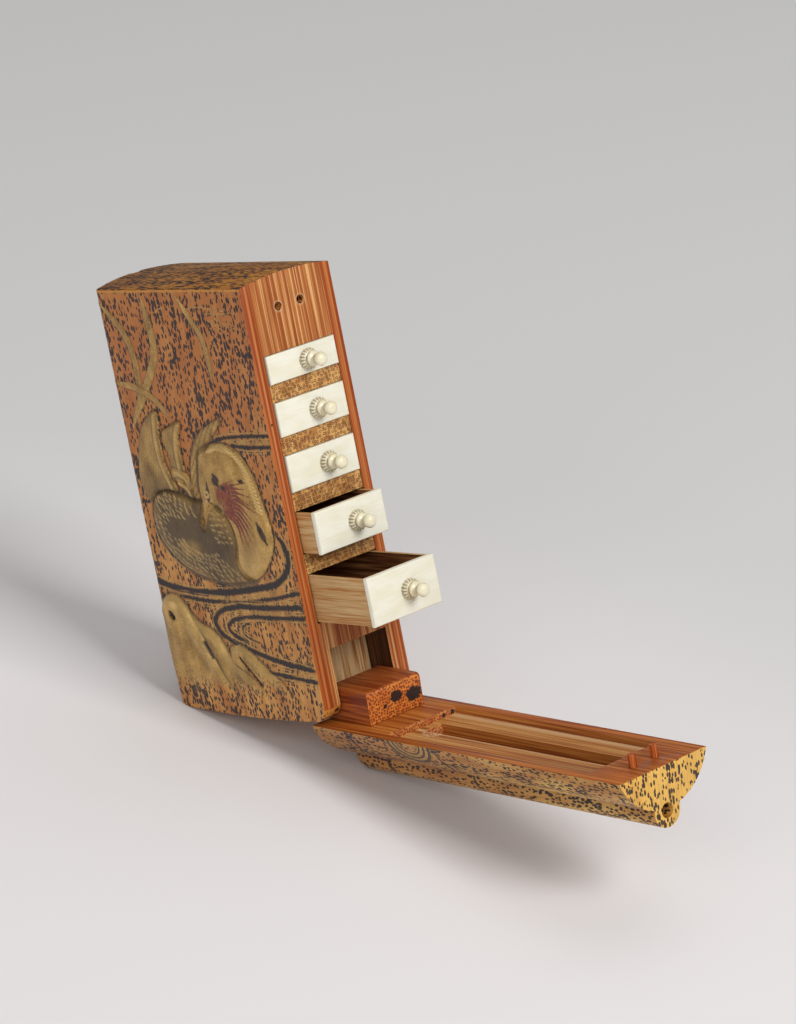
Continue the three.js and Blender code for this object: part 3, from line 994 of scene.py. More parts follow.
        # Painted highlight on the big rock's crest.
        crest = np.exp(-((self.x - 5.2) / 1.7) ** 2 - ((self.z - 23.0) / 1.2) ** 2)
        self.tint(Mask.PALE, 0.85 * crest)

    def groove(self, points: Points, width: float, depth: float, shade: float) -> None:
        """Presses a soft furrow into the relief, a little darker than what is round it.

        Args:
            points: what it passes.
            width: its width.
            depth: how deep it goes.
            shade: how much darker it is.
        """
        gap, share = self.near(points)
        soft = np.exp(-(gap / width) ** 2) * ease(np.minimum(share, 1 - share), -0.05, 0.2)
        self.height -= depth * soft
        self.tint(Mask.DARK, shade * soft * soft)

    def hole(self, points: Points, width: float) -> None:
        """Cuts a dark slot or hole into the relief.

        Args:
            points: what it passes.
            width: its width.
        """
        gap, _ = self.near(points)
        cut = ease(width / 2 - gap, -0.12, 0.12)
        self.height = self.height * (1 - 0.75 * cut)
        self.lay(Mask.DARK, cut)

    def tail(self) -> None:
        """Two raised sail feathers and the curled feathers at their foot."""
        sails = (
            (((4.4, 45.0), (2.4, 49.2), (3.0, 53.5), (5.5, 59.6), (8.2, 62.6), (11.8, 64.4), (12.4, 62.6),
              (11.6, 58.5), (11.8, 53.0), (14.4, 47.2), (10.0, 44.8)),
             ((11.6, 64.0), (10.6, 58.6), (10.8, 53.4), (13.2, 47.2))),
            (((13.2, 50.4), (13.6, 54.6), (12.6, 59.6), (15.4, 61.1), (19.2, 62.2), (18.0, 58.8),
              (17.6, 55.0), (17.8, 50.6), (15.6, 49.6)),
             ((18.6, 61.6), (17.1, 58.4), (16.6, 54.6), (16.8, 50.4))),
        )
        for outline, border in sails:
            depth = self.inside(outline)
            gap, _ = self.near(border)
            stripes = np.sin((self.x - 0.32 * self.z) * 2 * math.pi / 0.8)
            ridge = np.exp(-(gap / 0.5) ** 2)
            form = (0.62 + 0.01 * stripes + 0.12 * ridge) * ease(depth, -0.35, 0.6)
            self.height = np.where(depth > -0.35, np.maximum(self.height * (depth < 0), form), self.height)
            self.shade(depth, 0.7, 0.7, 0.1)
            self.lay(Mask.GOLD, ease(depth, -0.1, 0.12))
            inside = ease(depth, 0.0, 0.3)
            root = 0.4 * ease(-self.z, -56.0, -45.0)
            self.tint(Mask.DARK, inside * (0.1 + root + 0.16 * ease(stripes, 0.0, 0.9)) * (1 - ridge))
            self.tint(Mask.PALE, 0.4 * inside * np.exp(-(gap / 0.35) ** 2))
            self.tint(Mask.DARK, 0.6 * inside * np.exp(-((gap - 0.75) / 0.22) ** 2))
        self.feather(((14.6, 51.6), (17.4, 50.6), (19.2, 47.6)), 2.1)
        self.feather(((15.4, 49.4), (17.8, 48.2), (18.8, 46.2)), 2.1)

    def feather(self, points: Points, width: float) -> None:
        """Lays one short raised feather, pale along its middle, with a painted shadow just outside its edge.

        Args:
            points: what it passes.
            width: its width.
        """
        depth = width / 2 - self.near(points)[0]
        self.height = np.maximum(self.height, 0.62 * ease(depth, -0.05, 0.8))
        self.shade(depth, 0.8, 0.5, 0.05)
        self.lay(Mask.GOLD, ease(depth, -0.05, 0.15))
        self.tint(Mask.PALE, 0.4 * ease(depth, 0.5, 0.9))

    def dashes(self, row: Points, count: int, length: float, turn_deg: float, strength: float) -> None:
        """Draws a row of short gold dashes.

        Args:
            row: the line that the dashes' middles follow.
            count: how many there are.
            length: each one's length.
            turn_deg: how far each is turned from the x direction.
            strength: how fully they cover.
        """
        line = smooth_line(row)
        at = np.linspace(0, len(line) - 1, count)
        for i in at:
            a, b = line[int(i)], line[min(int(i) + 1, len(line) - 1)]
            middle = a + (b - a) * (i - int(i)) + self.random.normal(0, 0.17, 2)
            angle = math.radians(turn_deg + self.random.normal(0, 12))
            half = length / 2 * self.random.uniform(0.7, 1.2) * np.array([math.cos(angle), math.sin(angle)])
            gap, _ = line_distance(self.x, self.z, np.array([middle - half, middle + half]))
            self.tint(Mask.PALE, strength * self.random.uniform(0.6, 1.0) * ease(0.14 - gap, -0.13, 0.1))

    def body(self) -> None:
        """The folded wings and back, dark in the middle and pricked with gold."""
        outline = (
            (6.3, 46.8), (4.4, 43.5), (4.0, 40.0), (5.4, 36.2), (9.0, 32.8), (13.2, 30.3), (18.7, 29.0),
            (25.2, 28.2), (31.2, 28.8), (35.0, 30.3), (36.0, 36.0), (31.0, 42.0), (25.0, 45.4),
            (19.0, 46.4), (14.9, 47.3), (10.8, 47.9),
        )
        depth = self.inside(outline)
        along, across, swell = self.swell((18.6, 37.8), -27, (17.2, 8.8), 1.12)
        form = (0.22 + 0.76 * swell) * ease(depth, -0.1, 1.1)
        over = ease(depth, -0.15, 0.1)
        self.cover(over, form)
        self.shade(depth, 0.8, 0.9, 0.1)
        self.lay(Mask.GOLD, 0.95 * over)
        dark = np.exp(-((along + 0.5) / 15.0) ** 4 - ((across + 0.6) / 7.0) ** 4)
        dust = ease(np.exp(-((self.x - 15.5) / 5.0) ** 2 - ((self.z - 35.6) / 2.2) ** 2), 0.2, 0.9)
        self.tint(Mask.DARK, over * (0.32 + 0.50 * dark) * (1 - 0.5 * dust))
        self.tint(Mask.DARK, 0.85 * over * (1 - ease(depth, 0.1, 1.8)))
        lower = np.array([
            (4.6, 42.6), (4.7, 39.8), (6.0, 36.3), (9.4, 33.2), (13.6, 30.8), (18.8, 29.5), (25.0, 28.8),
            (31.0, 29.4),
        ])
        middle = np.array((19.0, 38.6))
        for i in range(6):
            row = middle + (lower - middle) * (0.95 - 0.105 * i)
            first = 0 if i < 2 else 1 + i // 3
            self.dashes([tuple(point) for point in row[first:]], 24 - 2 * i, 0.8, -40, 0.6)
        upper = np.array([(6.4, 45.4), (9.4, 46.6), (13.2, 46.4), (18.0, 44.4)])
        for i in range(5):
            row = upper + np.array((0.5 * i, -1.05 * i))
            self.dashes([tuple(point) for point in row[:4 - i // 3]], 10 - i, 0.85, -58 + 4 * i, 0.75)
        for i in range(4):
            row = [(x + 1.3 * i, z) for x, z in ((23.6, 43.4), (24.3, 40.4), (25.2, 37.4))]
            self.dashes(row, 6, 0.8, -12, 0.65)
        self.stroke(((3.6, 44.6), (3.2, 41.0), (4.4, 36.4), (7.3, 33.0), (12.5, 30.2)), 0.6, Mask.GOLD, 0.7)

    def head(self) -> None:
        """The head laid back over the body, with its crest, bill, eye and ruff."""
        crest = (
            (19.8, 46.0), (19.2, 49.7), (19.8, 52.9), (21.4, 56.4), (23.7, 59.2), (27.2, 61.2),
            (33.2, 63.2), (29.6, 60.0), (26.6, 57.6), (24.2, 54.6), (23.2, 50.0),
        )
        depth = self.inside(crest)
        strands = np.sin((self.x * 0.8 - self.z * 0.62) * 2 * math.pi / 1.1)
        over = ease(depth, -0.12, 0.1)
        self.cover(over, (0.36 + 0.03 * strands) * ease(depth, -0.1, 0.5))
        self.shade(depth, 0.7, 0.8, 0.1)
        self.lay(Mask.GOLD, over)
        self.tint(Mask.DARK, over * 0.45 * (strands > 0.3))

        neck = (
            (22.6, 53.0), (23.6, 55.9), (26.2, 57.2), (29.7, 57.9), (33.7, 57.4), (36.8, 55.6),
            (38.7, 53.0), (39.9, 50.4), (40.8, 46.7), (41.6, 43.1), (42.1, 39.4), (41.0, 36.0),
            (38.2, 32.6), (35.0, 30.3), (31.6, 30.0), (29.6, 33.0), (30.6, 37.6), (29.8, 41.4),
            (27.1, 44.6), (24.0, 45.0), (22.4, 42.6), (21.3, 39.6), (20.2, 41.4), (21.6, 45.0),
            (21.6, 49.0),
        )
        depth = self.inside(neck)
        swell = self.swell((31.4, 43.8), -58, (15.4, 9.4), 1.1)[2]
        form = (0.30 + 0.80 * swell) * ease(depth, -0.1, 0.9)
        over = ease(depth, -0.12, 0.1)
        self.cover(over, form)
        self.shade(depth, 0.85, 0.9, 0.1)
        self.lay(Mask.GOLD, over)
        self.tint(Mask.PALE, 0.25 * over * ease(-self.z, -41.0, -33.0))
        self.ruff()
        self.contour()
        self.face()

    def ruff(self) -> None:
        """Curved red-brown feathers that fan out from the throat."""
        tips = (
            (31.2, 50.3), (33.6, 50.5), (35.6, 49.9), (37.2, 48.9), (38.3, 47.4), (38.9, 45.7),
            (39.1, 43.9), (38.8, 42.2), (38.2, 40.6), (37.2, 39.2), (36.1, 37.9), (34.9, 36.8),
            (33.6, 36.0),
        )
        root = np.array((27.6, 44.8))
        for tip in np.array(tips):
            way = tip - root
            middle = (root + tip) / 2 + 0.2 * np.array((-way[1], way[0]))
            length = self.random.uniform(0.88, 1.04)
            gap, share = self.near([root + 0.14 * way, middle, root + length * way])
            half = 0.34 * np.clip(np.minimum(share * 1.6, 1 - share) / 0.4, 0.25, 1)
            self.height += 0.06 * np.exp(-(gap / 0.35) ** 2)
            self.lay(Mask.RED, 0.9 * ease(half - gap, -0.14, 0.14))

    def contour(self) -> None:
        """Short slanting gold hairs along the nape, and fine ones along the breast."""
        nape = smooth_line((
            (28.0, 57.3), (31.0, 57.5), (34.6, 56.3), (37.2, 53.8), (38.8, 50.6), (40.0, 46.8), (40.8, 43.0),
        ), steps=5)
        for start, way in zip(nape[:-1], nape[1:] - nape[:-1]):
            inward = np.array((way[1], -way[0])) / np.hypot(*way)
            back = way / np.hypot(*way)
            line = np.array([start - 0.1 * inward, start + 1.0 * inward - 1.2 * back])
            gap, _ = line_distance(self.x, self.z, line)
            self.tint(Mask.PALE, 0.95 * ease(0.15 - gap, -0.12, 0.1))
            self.height += 0.05 * np.exp(-(gap / 0.22) ** 2)
        breast = smooth_line(((30.6, 33.4), (33.0, 31.4), (36.0, 31.8), (38.6, 33.6), (40.6, 36.4)), steps=9)
        centre = np.array((34.2, 38.6))
        for start in breast:
            way = (centre - start) / np.hypot(*(centre - start))
            line = np.array([start - 0.3 * way, start + self.random.uniform(1.4, 2.6) * way])
            gap, _ = line_distance(self.x, self.z, line)
            self.tint(Mask.PALE, 0.4 * ease(0.10 - gap, -0.1, 0.1))

    def face(self) -> None:
        """Bill, eye and the dark spots of the head."""
        bill = (
            (24.2, 46.6), (22.6, 45.2), (21.4, 42.4), (21.2, 39.4), (22.4, 41.2), (23.6, 43.4), (25.0, 45.0),
        )
        depth = self.inside(bill)
        self.height += 0.12 * ease(depth, -0.2, 0.5)
        self.lay(Mask.GOLD, ease(depth, -0.1, 0.1))
        self.tint(Mask.PALE, 0.35 * ease(depth, 0.1, 0.5))
        spots = (
            (((25.2, 49.9), (25.0, 47.6), (24.6, 45.2)), 1.1),
            (((27.9, 51.6), (28.4, 50.2), (28.9, 49.4)), 2.3),
            (((29.9, 49.5), (30.6, 48.5)), 1.2), (((35.4, 50.6), (37.0, 50.2)), 0.9),
            (((38.7, 42.0), (39.6, 39.8), (40.6, 37.6)), 1.5),
        )
        for points, width in spots:
            gap, share = self.near(points)
            half = width / 2 * np.clip(np.minimum(share, 1 - share) / 0.3, 0.35, 1)
            self.lay(Mask.DARK, 0.92 * ease(half - gap, -0.18, 0.15))
        eye = np.hypot(self.x - 24.5, self.z - 47.4)
        self.lay(Mask.GOLD, ease(0.85 - eye, -0.1, 0.1))
        self.tint(Mask.PALE, 0.5 * ease(0.22 - np.abs(eye - 0.6), -0.1, 0.1))
        self.lay(Mask.DARK, ease(0.3 - eye, -0.1, 0.1))
        self.height += 0.1 * ease(0.8 - eye, -0.1, 0.4)


@dataclass
class LacquerSkin:
    """A thin skin over the decorated face and round its back corner, which carries the raised picture."""

    model: Model
    column_step: float = 0.25
    rows: int = 350
    clearance: float = 0.06
    highest: float = 1.05
    reach: float = 3.5
    into: float = 0.35
    foot: tuple[float, float] = (-1.0, 8.0)
    corner_columns: int = 17

    def columns(self) -> tuple[np.ndarray, np.ndarray, np.ndarray]:
        """Lays out the columns along the face and round the back corner.

        Returns:
            Each column's picture x, its foot point in plan, and its outward normal in plan.
        """
        count = int((CASE_WIDTH - BACK_CORNER) / self.column_step)
        flat = np.linspace(CASE_WIDTH - 0.05, BACK_CORNER, count)
        t = np.linspace(0, 1, self.corner_columns + 1)[1:]
        corner_x = (1 - t) ** 2 * BACK_CORNER + t**2 * BACK_SIDE_X
        corner_y = t**2 * BACK_CORNER
        plan = np.concatenate([np.stack([flat, 0 * flat], 1), np.stack([corner_x, corner_y], 1)])
        way = np.gradient(plan, axis=0)
        way /= np.linalg.norm(way, axis=1)[:, None]
        normal = np.stack([way[:, 1], -way[:, 0]], 1)
        normal *= np.sign(-normal[:, 1:2] - 1e-9 * normal[:, :1])
        steps = np.linalg.norm(np.diff(plan, axis=0), axis=1)
        picture_x = plan[0, 0] - np.concatenate([[0], np.cumsum(steps)])
        return picture_x, plan, normal

    def cast(self, tree: BVHTree, point: np.ndarray, normal: np.ndarray, z: float) -> float | None:
        """Finds how far the CAD surface stands out at one place.

        Args:
            tree: the case body's faces, in own millimetres.
            point: the place in plan.
            normal: the outward normal in plan.
            z: the place's height.

        Returns:
            The height in millimetres, or None where nothing is hit.
        """
        start = Vector((point[0] + self.reach * normal[0], point[1] + self.reach * normal[1], z))
        hit = tree.ray_cast(start, Vector((-normal[0], -normal[1], 0)), self.reach + 0.4)
        return None if hit[0] is None else self.reach - hit[3]

    def build(self) -> bpy.types.Object:
        """Builds the skin with its relief and masks, as one closed mesh in the model's frame.

        Returns:
            The skin.
        """
        axes = self.model.case
        node = self.model.frame["nodes"]["case_body"].data
        own = axes.own_points(np.array([v.co for v in node.vertices]))
        tree = BVHTree.FromPolygons([tuple(p) for p in own], [tuple(f.vertices) for f in node.polygons])
        picture_x, plan, normal = self.columns()
        lows = [self.lowest(tree, p, n) for p, n in zip(plan, normal)]
        rise = np.linspace(0, 1, self.rows + 1)
        z = np.array([low + (CASE_HEIGHT - 0.02 - low) * rise for low in lows])
        x = np.repeat(picture_x[:, None], self.rows + 1, 1)
        picture = Picture(x, z)
        picture.draw()
        edge = ease(np.minimum(CASE_WIDTH - x, CASE_HEIGHT - z), 0.0, 0.9)
        relief = np.clip(picture.height * edge, 0, self.highest)
        height = relief + self.clearance
        return self.mesh(plan, normal, z, height, picture.masks)

    def lowest(self, tree: BVHTree, point: np.ndarray, normal: np.ndarray) -> float:
        """Finds the lowest height at which the case still has a wall at one column.

        Args:
            tree: the case body's faces.
            point: the column's place in plan.
            normal: its outward normal in plan.

        Returns:
            The height, in millimetres.
        """
        low, high = self.foot
        for _ in range(12):
            middle = (low + high) / 2
            if self.cast(tree, point, normal, middle) is None:
                low = middle
            else:
                high = middle
        return high + 0.02

    def mesh(
        self,
        plan: np.ndarray,
        normal: np.ndarray,
        z: np.ndarray,
        height: np.ndarray,
        masks: dict[Mask, np.ndarray],
    ) -> bpy.types.Object:
        """Joins the skin's outer grid, its rims and its hidden back into one closed mesh.

        Args:
            plan: each column's place in plan.
            normal: each column's outward normal in plan.
            z: each point's height above the foot.
            height: how far the skin stands out.
            masks: the lacquers' masks, with the painted shadows and highlights.

        Returns:
            The skin.
        """
        columns, rows = height.shape
        outer = np.empty((columns, rows, 3))
        outer[..., :2] = plan[:, None] + normal[:, None] * height[..., None]
        outer[..., 2] = z
        inner = [np.column_stack([plan - self.into * normal, z[:, end]]) for end in (0, -1)]
        points = np.concatenate([outer.reshape(-1, 3), *inner])
        foot, crown = columns * rows, columns * rows + columns
        i, j = np.meshgrid(np.arange(columns - 1), np.arange(rows - 1), indexing="ij")
        corner = (i * rows + j).ravel()
        faces = np.stack([corner, corner + 1, corner + rows + 1, corner + rows], 1).tolist()
        for c in range(columns - 1):
            a, b = c * rows, (c + 1) * rows
            faces.append([a, b, foot + c + 1, foot + c])
            faces.append([b + rows - 1, a + rows - 1, crown + c, crown + c + 1])
            faces.append([foot + c, foot + c + 1, crown + c + 1, crown + c])
        last = (columns - 1) * rows
        faces.append([*range(rows - 1, -1, -1), foot, crown])
        faces.append([*range(last, last + rows), crown + columns - 1, foot + columns - 1])
        mesh = bpy.data.meshes.new("lacquer_skin")
        mesh.from_pydata(points.tolist(), [], faces)
        mesh.transform(self.model.case.to_model())
        for mask, values in masks.items():
            layer = mesh.attributes.new(mask.value, "FLOAT", "POINT")
            full = np.concatenate([values.ravel(), np.zeros(2 * columns)]).astype(np.float32)
            layer.data.foreach_set("value", np.clip(full, 0, 1))
        piece = bpy.data.objects.new("lacquer_skin", mesh)
        bpy.context.scene.collection.objects.link(piece)
        with editing(piece):
            bpy.ops.mesh.normals_make_consistent(inside=False)
        bpy.ops.object.shade_smooth_by_angle(angle=math.radians(60))
        return piece


def select_only(piece: bpy.types.Object) -> None:
    """Makes one object the only selected one, and the active one.

    Args:
        piece: the piece.
    """
    bpy.ops.object.select_all(action="DESELECT")
    piece.select_set(True)
    bpy.context.view_layer.objects.active = piece


@contextmanager
def editing(piece: bpy.types.Object) -> Iterator[None]:
    """Edits one piece's mesh, with all of it selected.

    Args:
        piece: the piece.

    Returns:
        Nothing, while the mesh is edited.
    """
    select_only(piece)
    bpy.ops.object.mode_set(mode="EDIT")
    bpy.ops.mesh.select_all(action="SELECT")
    yield
    bpy.ops.object.mode_set(mode="OBJECT")


def lay_in_place(piece: bpy.types.Object, axes: Axes) -> None:
    """Moves a piece drawn in own metres into the model's frame, with its object left at the origin.

    Args:
        piece: the piece.
        axes: the axes that it was drawn in.
    """
    select_only(piece)
    bpy.ops.object.transform_apply(location=True, rotation=True, scale=True)
    piece.data.transform(axes.to_model() @ Matrix.Scale(1 / MM, 4))


@dataclass
class TurnedKnob:
    """A turned knob: a petalled flange on the plate, a bead, a thin waist and a button end."""

    petals: int = 18
    grooves: tuple[float, ...] = (1.20, 2.66, 3.24)
    sides: int = 72
    groove: float = 0.14
    petals_from: float = 1.7
    flange: tuple[float, float] = (1.55, 0.98)
    darkening_width: float = 0.16

    # Each ring's radius and distance from the plate
    rings: tuple[tuple[float, float], ...] = (
        (1.80, 0.02), (2.12, 0.10), (2.22, 0.30), (2.20, 0.54), (2.05, 0.80), (1.82, 0.94), (1.62, 1.00),
        (1.52, 1.05), (1.28, 1.12), (1.18, 1.24), (1.24, 1.34), (1.42, 1.46), (1.52, 1.64), (1.54, 1.80),
        (1.46, 2.00), (1.22, 2.16), (0.90, 2.28), (0.64, 2.46), (0.56, 2.68), (0.62, 2.88), (0.88, 2.96),
        (1.10, 3.02), (1.16, 3.12), (1.06, 3.24), (1.14, 3.32), (1.30, 3.52), (1.40, 3.80), (1.39, 4.14),
        (1.26, 4.46), (0.99, 4.74), (0.60, 4.92), (0.20, 4.98),
    )

    def build(self, name: str, plate: Vector, axes: Axes) -> bpy.types.Object:
        """Turns one knob ring by ring and stands it on its plate.

        Args:
            name: the piece's name.
            plate: the middle of its foot on the plate, in own millimetres.
            axes: the case's own axes.

        Returns:
            The knob.
        """
        bpy.ops.object.select_all(action="DESELECT")
        first, start = self.rings[0]
        bpy.ops.mesh.primitive_circle_add(vertices=self.sides, radius=first * MM, fill_type="NGON")
        knob = bpy.context.object
        knob.name = name
        with editing(knob):
            for (radius, along), (next_radius, next_along) in zip(self.rings, self.rings[1:]):
                rise = (next_along - along) * MM
                bpy.ops.mesh.extrude_region_move(TRANSFORM_OT_translate={"value": (0, 0, rise)})
                share = next_radius / radius
                bpy.ops.transform.resize(value=(share, share, 1))
            bpy.ops.mesh.select_all(action="SELECT")
            bpy.ops.mesh.normals_make_consistent(inside=False)
        self.mark_darkening(knob)
        self.cut_petals(knob)
        bpy.ops.object.shade_smooth_by_angle(angle=math.radians(50))
        knob.data.transform(Matrix.Translation((0, 0, start * MM)))
        lay = Matrix.Translation(plate * MM) @ Matrix.Rotation(math.pi / 2, 4, "Y")
        knob.data.transform(lay)
        lay_in_place(knob, axes)
        return knob

    def cut_petals(self, knob: bpy.types.Object) -> None:
        """Draws the flange's rim in between its petals.

        Args:
            knob: the knob.
        """
        for vertex in knob.data.vertices:
            radius = math.hypot(vertex.co.x, vertex.co.y) / MM
            if radius < self.petals_from:
                continue
            share = 1 - self.groove * self.notch(vertex.co)
            vertex.co.x *= share
            vertex.co.y *= share

    def notch(self, place: Vector) -> float:
        """Tells how near a place on the flange is to the notch between two petals, from 0 to 1."""
        return (0.5 - 0.5 * math.cos(math.atan2(place.y, place.x) * self.petals)) ** 2

    def mark_darkening(self, knob: bpy.types.Object) -> None:
        """Keeps as an attribute where the ivory is darker brown: between the petals, and in the turned
        grooves.

        Args:
            knob: the knob.
        """
        layer = knob.data.attributes.new(GROOVE_DARKENING, "FLOAT", "POINT")
        for vertex, place in zip(layer.data, knob.data.vertices):
            radius = math.hypot(place.co.x, place.co.y) / MM
            along = place.co.z / MM
            if radius > self.flange[0] and along < self.flange[1]:
                vertex.value = 0.25 + 0.75 * self.notch(place.co)
            else:
                gaps = ((along - middle) / self.darkening_width for middle in self.grooves)
                vertex.value = max(math.exp(-gap ** 2) for gap in gaps)


@dataclass
class Drawer:
    """One drawer's visible ivory: its plate with soft edges, and its knob."""

    model: Model
    number: int
    bevel: float = 0.3

    def plate(self) -> bpy.types.Object:
        """Cuts the plate to the CAD plate's size and softens its edges.

        Returns:
            The plate.
        """
        node = f"drawer_{self.number}_front"
        low, high = self.model.own_box(node, self.model.case)
        bpy.ops.object.select_all(action="DESELECT")
        bpy.ops.mesh.primitive_cube_add(size=1, location=(low + high) / 2 * MM)
        plate = bpy.context.object
        plate.name = f"{node}_ivory"
        plate.scale = (high - low) * MM
        bpy.ops.object.transform_apply(location=True, rotation=True, scale=True)
        bpy.ops.object.mode_set(mode="EDIT")
        bpy.ops.mesh.select_mode(type="EDGE")
        bpy.ops.mesh.select_all(action="DESELECT")
        bpy.ops.object.mode_set(mode="OBJECT")
        for edge in plate.data.edges:
            ends = [plate.data.vertices[v].co.x / MM for v in edge.vertices]
            edge.select = min(ends) > high.x - 0.01
        bpy.ops.object.mode_set(mode="EDIT")
        bpy.ops.mesh.bevel(offset=self.bevel * MM, segments=4, profile=0.5, affect="EDGES")
        bpy.ops.object.mode_set(mode="OBJECT")
        bpy.ops.object.shade_smooth_by_angle(angle=math.radians(30))
        lay_in_place(plate, self.model.case)
        return plate

    def knob(self) -> bpy.types.Object:
        """Stands the knob on the plate, where the CAD knob is.

        Returns:
            The knob.
        """
        low, high = self.model.own_box(f"drawer_{self.number}_knob", self.model.case)
        foot = Vector((low.x, (low.y + high.y) / 2, (low.z + high.z) / 2))
        return TurnedKnob().build(f"drawer_{self.number}_knob_ivory", foot, self.model.case)

    def build(self, plate_finish: bpy.types.Material, knob_finish: bpy.types.Material) -> None:
        """Makes the drawer's ivory and fits it to the model.

        Args:
            plate_finish: the plate's finish.
            knob_finish: the knob's finish.
        """
        body = f"drawer_{self.number}" if self.number > 3 else "case"
        for part, finish in (("front", plate_finish), ("knob", knob_finish)):
            piece = self.plate() if part == "front" else self.knob()
            piece.data.materials.clear()
            piece.data.materials.append(finish)
            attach(piece, body)
            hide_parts(f"drawer_{self.number}_{part}")
            log.info("drawer %d %s: %d faces", self.number, part, len(piece.data.polygons))


@dataclass
class Room:
    """A pale floor, its colour darkened with distance as painted shade, under soft light, and the camera."""

    model: Model
    floor_size: float = 6.0

    # Painted shade for the light's falloff: how the floor's colour darkens away from the camera, and further
    # on at its right, in metres
    away_deg: float = -43.0
    fade: tuple[float, float] = (0.02, 0.185)
    aside: tuple[float, float] = (0.2, 0.18)
    painted_falloff_tones: tuple[str, str] = ("E8E4E3", "D6D5D3")

    # Each lamp's name, direction, distance and side in metres, and power in watts
    lamps: tuple[tuple[str, Triple, float, float, float], ...] = (
        ("key", (0.72, 0.02, 0.70), 2.0, 0.73, 26),
        ("front_fill", (0.45, -0.8, 0.55), 2.4, 1.85, 17),
        ("top", (-0.2, 0.35, 1.0), 2.2, 1.5, 6),
    )
    sky: str = "F4F4F6"
    sky_strength: float = 0.30

    def floor(self) -> None:
        """Lays a pale floor whose colour darkens gently with distance, as painted shade for the light's
        falloff.
        """
        bpy.ops.object.select_all(action="DESELECT")
        bpy.ops.mesh.primitive_plane_add(size=self.floor_size, location=(0, 0, 0))
        floor = bpy.context.object
        floor.name = "floor"
        material = bpy.data.materials.new("pale_paper")
        material.use_nodes = True
        tree = material.node_tree
        tree.nodes.clear()
        place = add_node(tree, "ShaderNodeTexCoord").outputs["Object"]
        turned = add_node(tree, "ShaderNodeMapping", {
            "Vector": place, "Rotation": (0, 0, math.radians(self.away_deg)),
        }).outputs[0]
        place = add_node(tree, "ShaderNodeSeparateXYZ", {0: turned}).outputs
        aside = add_node(tree, "ShaderNodeMapRange", {
            "Value": place["X"], "From Min": 0.0, "From Max": self.aside[0], "To Max": self.aside[1],
        }).outputs[0]
        far = add_node(tree, "ShaderNodeMath", {0: place["Y"], 1: aside}).outputs[0]
        fade = add_node(tree, "ShaderNodeMapRange", {
            "Value": far, "From Min": self.fade[0], "From Max": self.fade[1],
        }, interpolation_type="SMOOTHSTEP").outputs[0]
        # Painted shade: the colour goes from the near tone to the darker far one.
        colour = add_node(tree, "ShaderNodeMix", {
            0: fade, 6: linear(self.painted_falloff_tones[0]), 7: linear(self.painted_falloff_tones[1]),
        }, data_type="RGBA").outputs[2]
        surface = add_node(tree, "ShaderNodeBsdfPrincipled", {"Base Color": colour, "Roughness": 0.9})
        add_node(tree, "ShaderNodeOutputMaterial", {"Surface": surface.outputs[0]})
        floor.data.materials.append(material)

    def light(self, name: str, way: Vector, distance: float, size: float, power: float) -> None:
        """Hangs one square lamp that shines on the case.

        Args:
            name: the lamp's name.
            way: the direction from the case to the lamp.
            distance: how far off it hangs, in metres.
            size: its side, in metres.
            power: its power, in watts.
        """
        lamp = bpy.data.lights.new(name, "AREA")
        lamp.size = size
        lamp.energy = power
        holder = bpy.data.objects.new(name, lamp)
        bpy.context.scene.collection.objects.link(holder)
        holder.location = way.normalized() * distance
        holder.rotation_euler = way.to_track_quat("Z", "Y").to_euler()

    def lights(self) -> None:
        """Hangs the lamps and sets the room's own light."""
        for name, way, distance, size, power in self.lamps:
            self.light(name, Vector(way), distance, size, power)
        world = bpy.data.worlds.new("room")
        bpy.context.scene.world = world
        world.use_nodes = True
        background = world.node_tree.nodes["Background"]
        set_inputs(background, {"Color": linear(self.sky), "Strength": self.sky_strength})
        bpy.context.scene.view_settings.view_transform = "Standard"

    def camera(self) -> None:
        """Sets the camera at the portrait's own place."""
        lens = bpy.data.cameras.new("portrait")
        lens.lens = LENS
        lens.sensor_width = SENSOR
        lens.clip_start = 0.01
        holder = bpy.data.objects.new("portrait", lens)
        bpy.context.scene.collection.objects.link(holder)
        to_model = self.model.case.to_model()
        holder.location = to_model @ EYE
        turn = to_model.to_3x3().normalized()
        back = -(turn @ SIGHT).normalized()
        right = (turn @ UP).cross(back).normalized()
        holder.rotation_euler = Matrix((right, back.cross(right), back)).transposed().to_euler()
        bpy.context.scene.camera = holder


def fine_copy(
    model: Model, node: str, name: str, rounding: float, press: Axes | None = None,
) -> bpy.types.Object:
    """Copies a CAD node, joins its flat faces and rounds its sharp edges.

    Args:
        model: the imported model.
        node: the CAD node's name.
        name: the new piece's name.
        rounding: how wide the rounded edges are, in millimetres.
        press: the axes in which any relief below y = 0 is pressed flat, if it is.

    Returns:
        The finer piece.
    """
    piece = bpy.data.objects.new(name, model.frame["nodes"][node].data.copy())
    bpy.context.scene.collection.objects.link(piece)
    piece.data.materials.clear()
    if press:
        to_model = press.to_model()
        inverse = to_model.inverted()
        for vertex in piece.data.vertices:
            own = inverse @ vertex.co
            if own.y < 0:
                vertex.co = to_model @ Vector((own.x, 0, own.z))
    with editing(piece):
        bpy.ops.mesh.remove_doubles(threshold=WELD * MM)
        bpy.ops.mesh.dissolve_limited(angle_limit=math.radians(FLAT_DEG))
    bevel = piece.modifiers.new("rounding", "BEVEL")
    bevel.width = rounding * MM
    bevel.segments = 2
    bevel.limit_method = "ANGLE"
    bevel.angle_limit = math.radians(CREASE_DEG)
    bevel.use_clamp_overlap = True
    bpy.ops.object.modifier_apply(modifier=bevel.name)
    bpy.ops.object.shade_smooth_by_angle(angle=math.radians(CREASE_DEG))
    return piece


class CaseFace(IntEnum):
    """The case's finishes, by their numbers."""

    SKIN = 0
    FRONT = 1
    SHAFT = 2
    CROWN = 3
    RECESS = 4


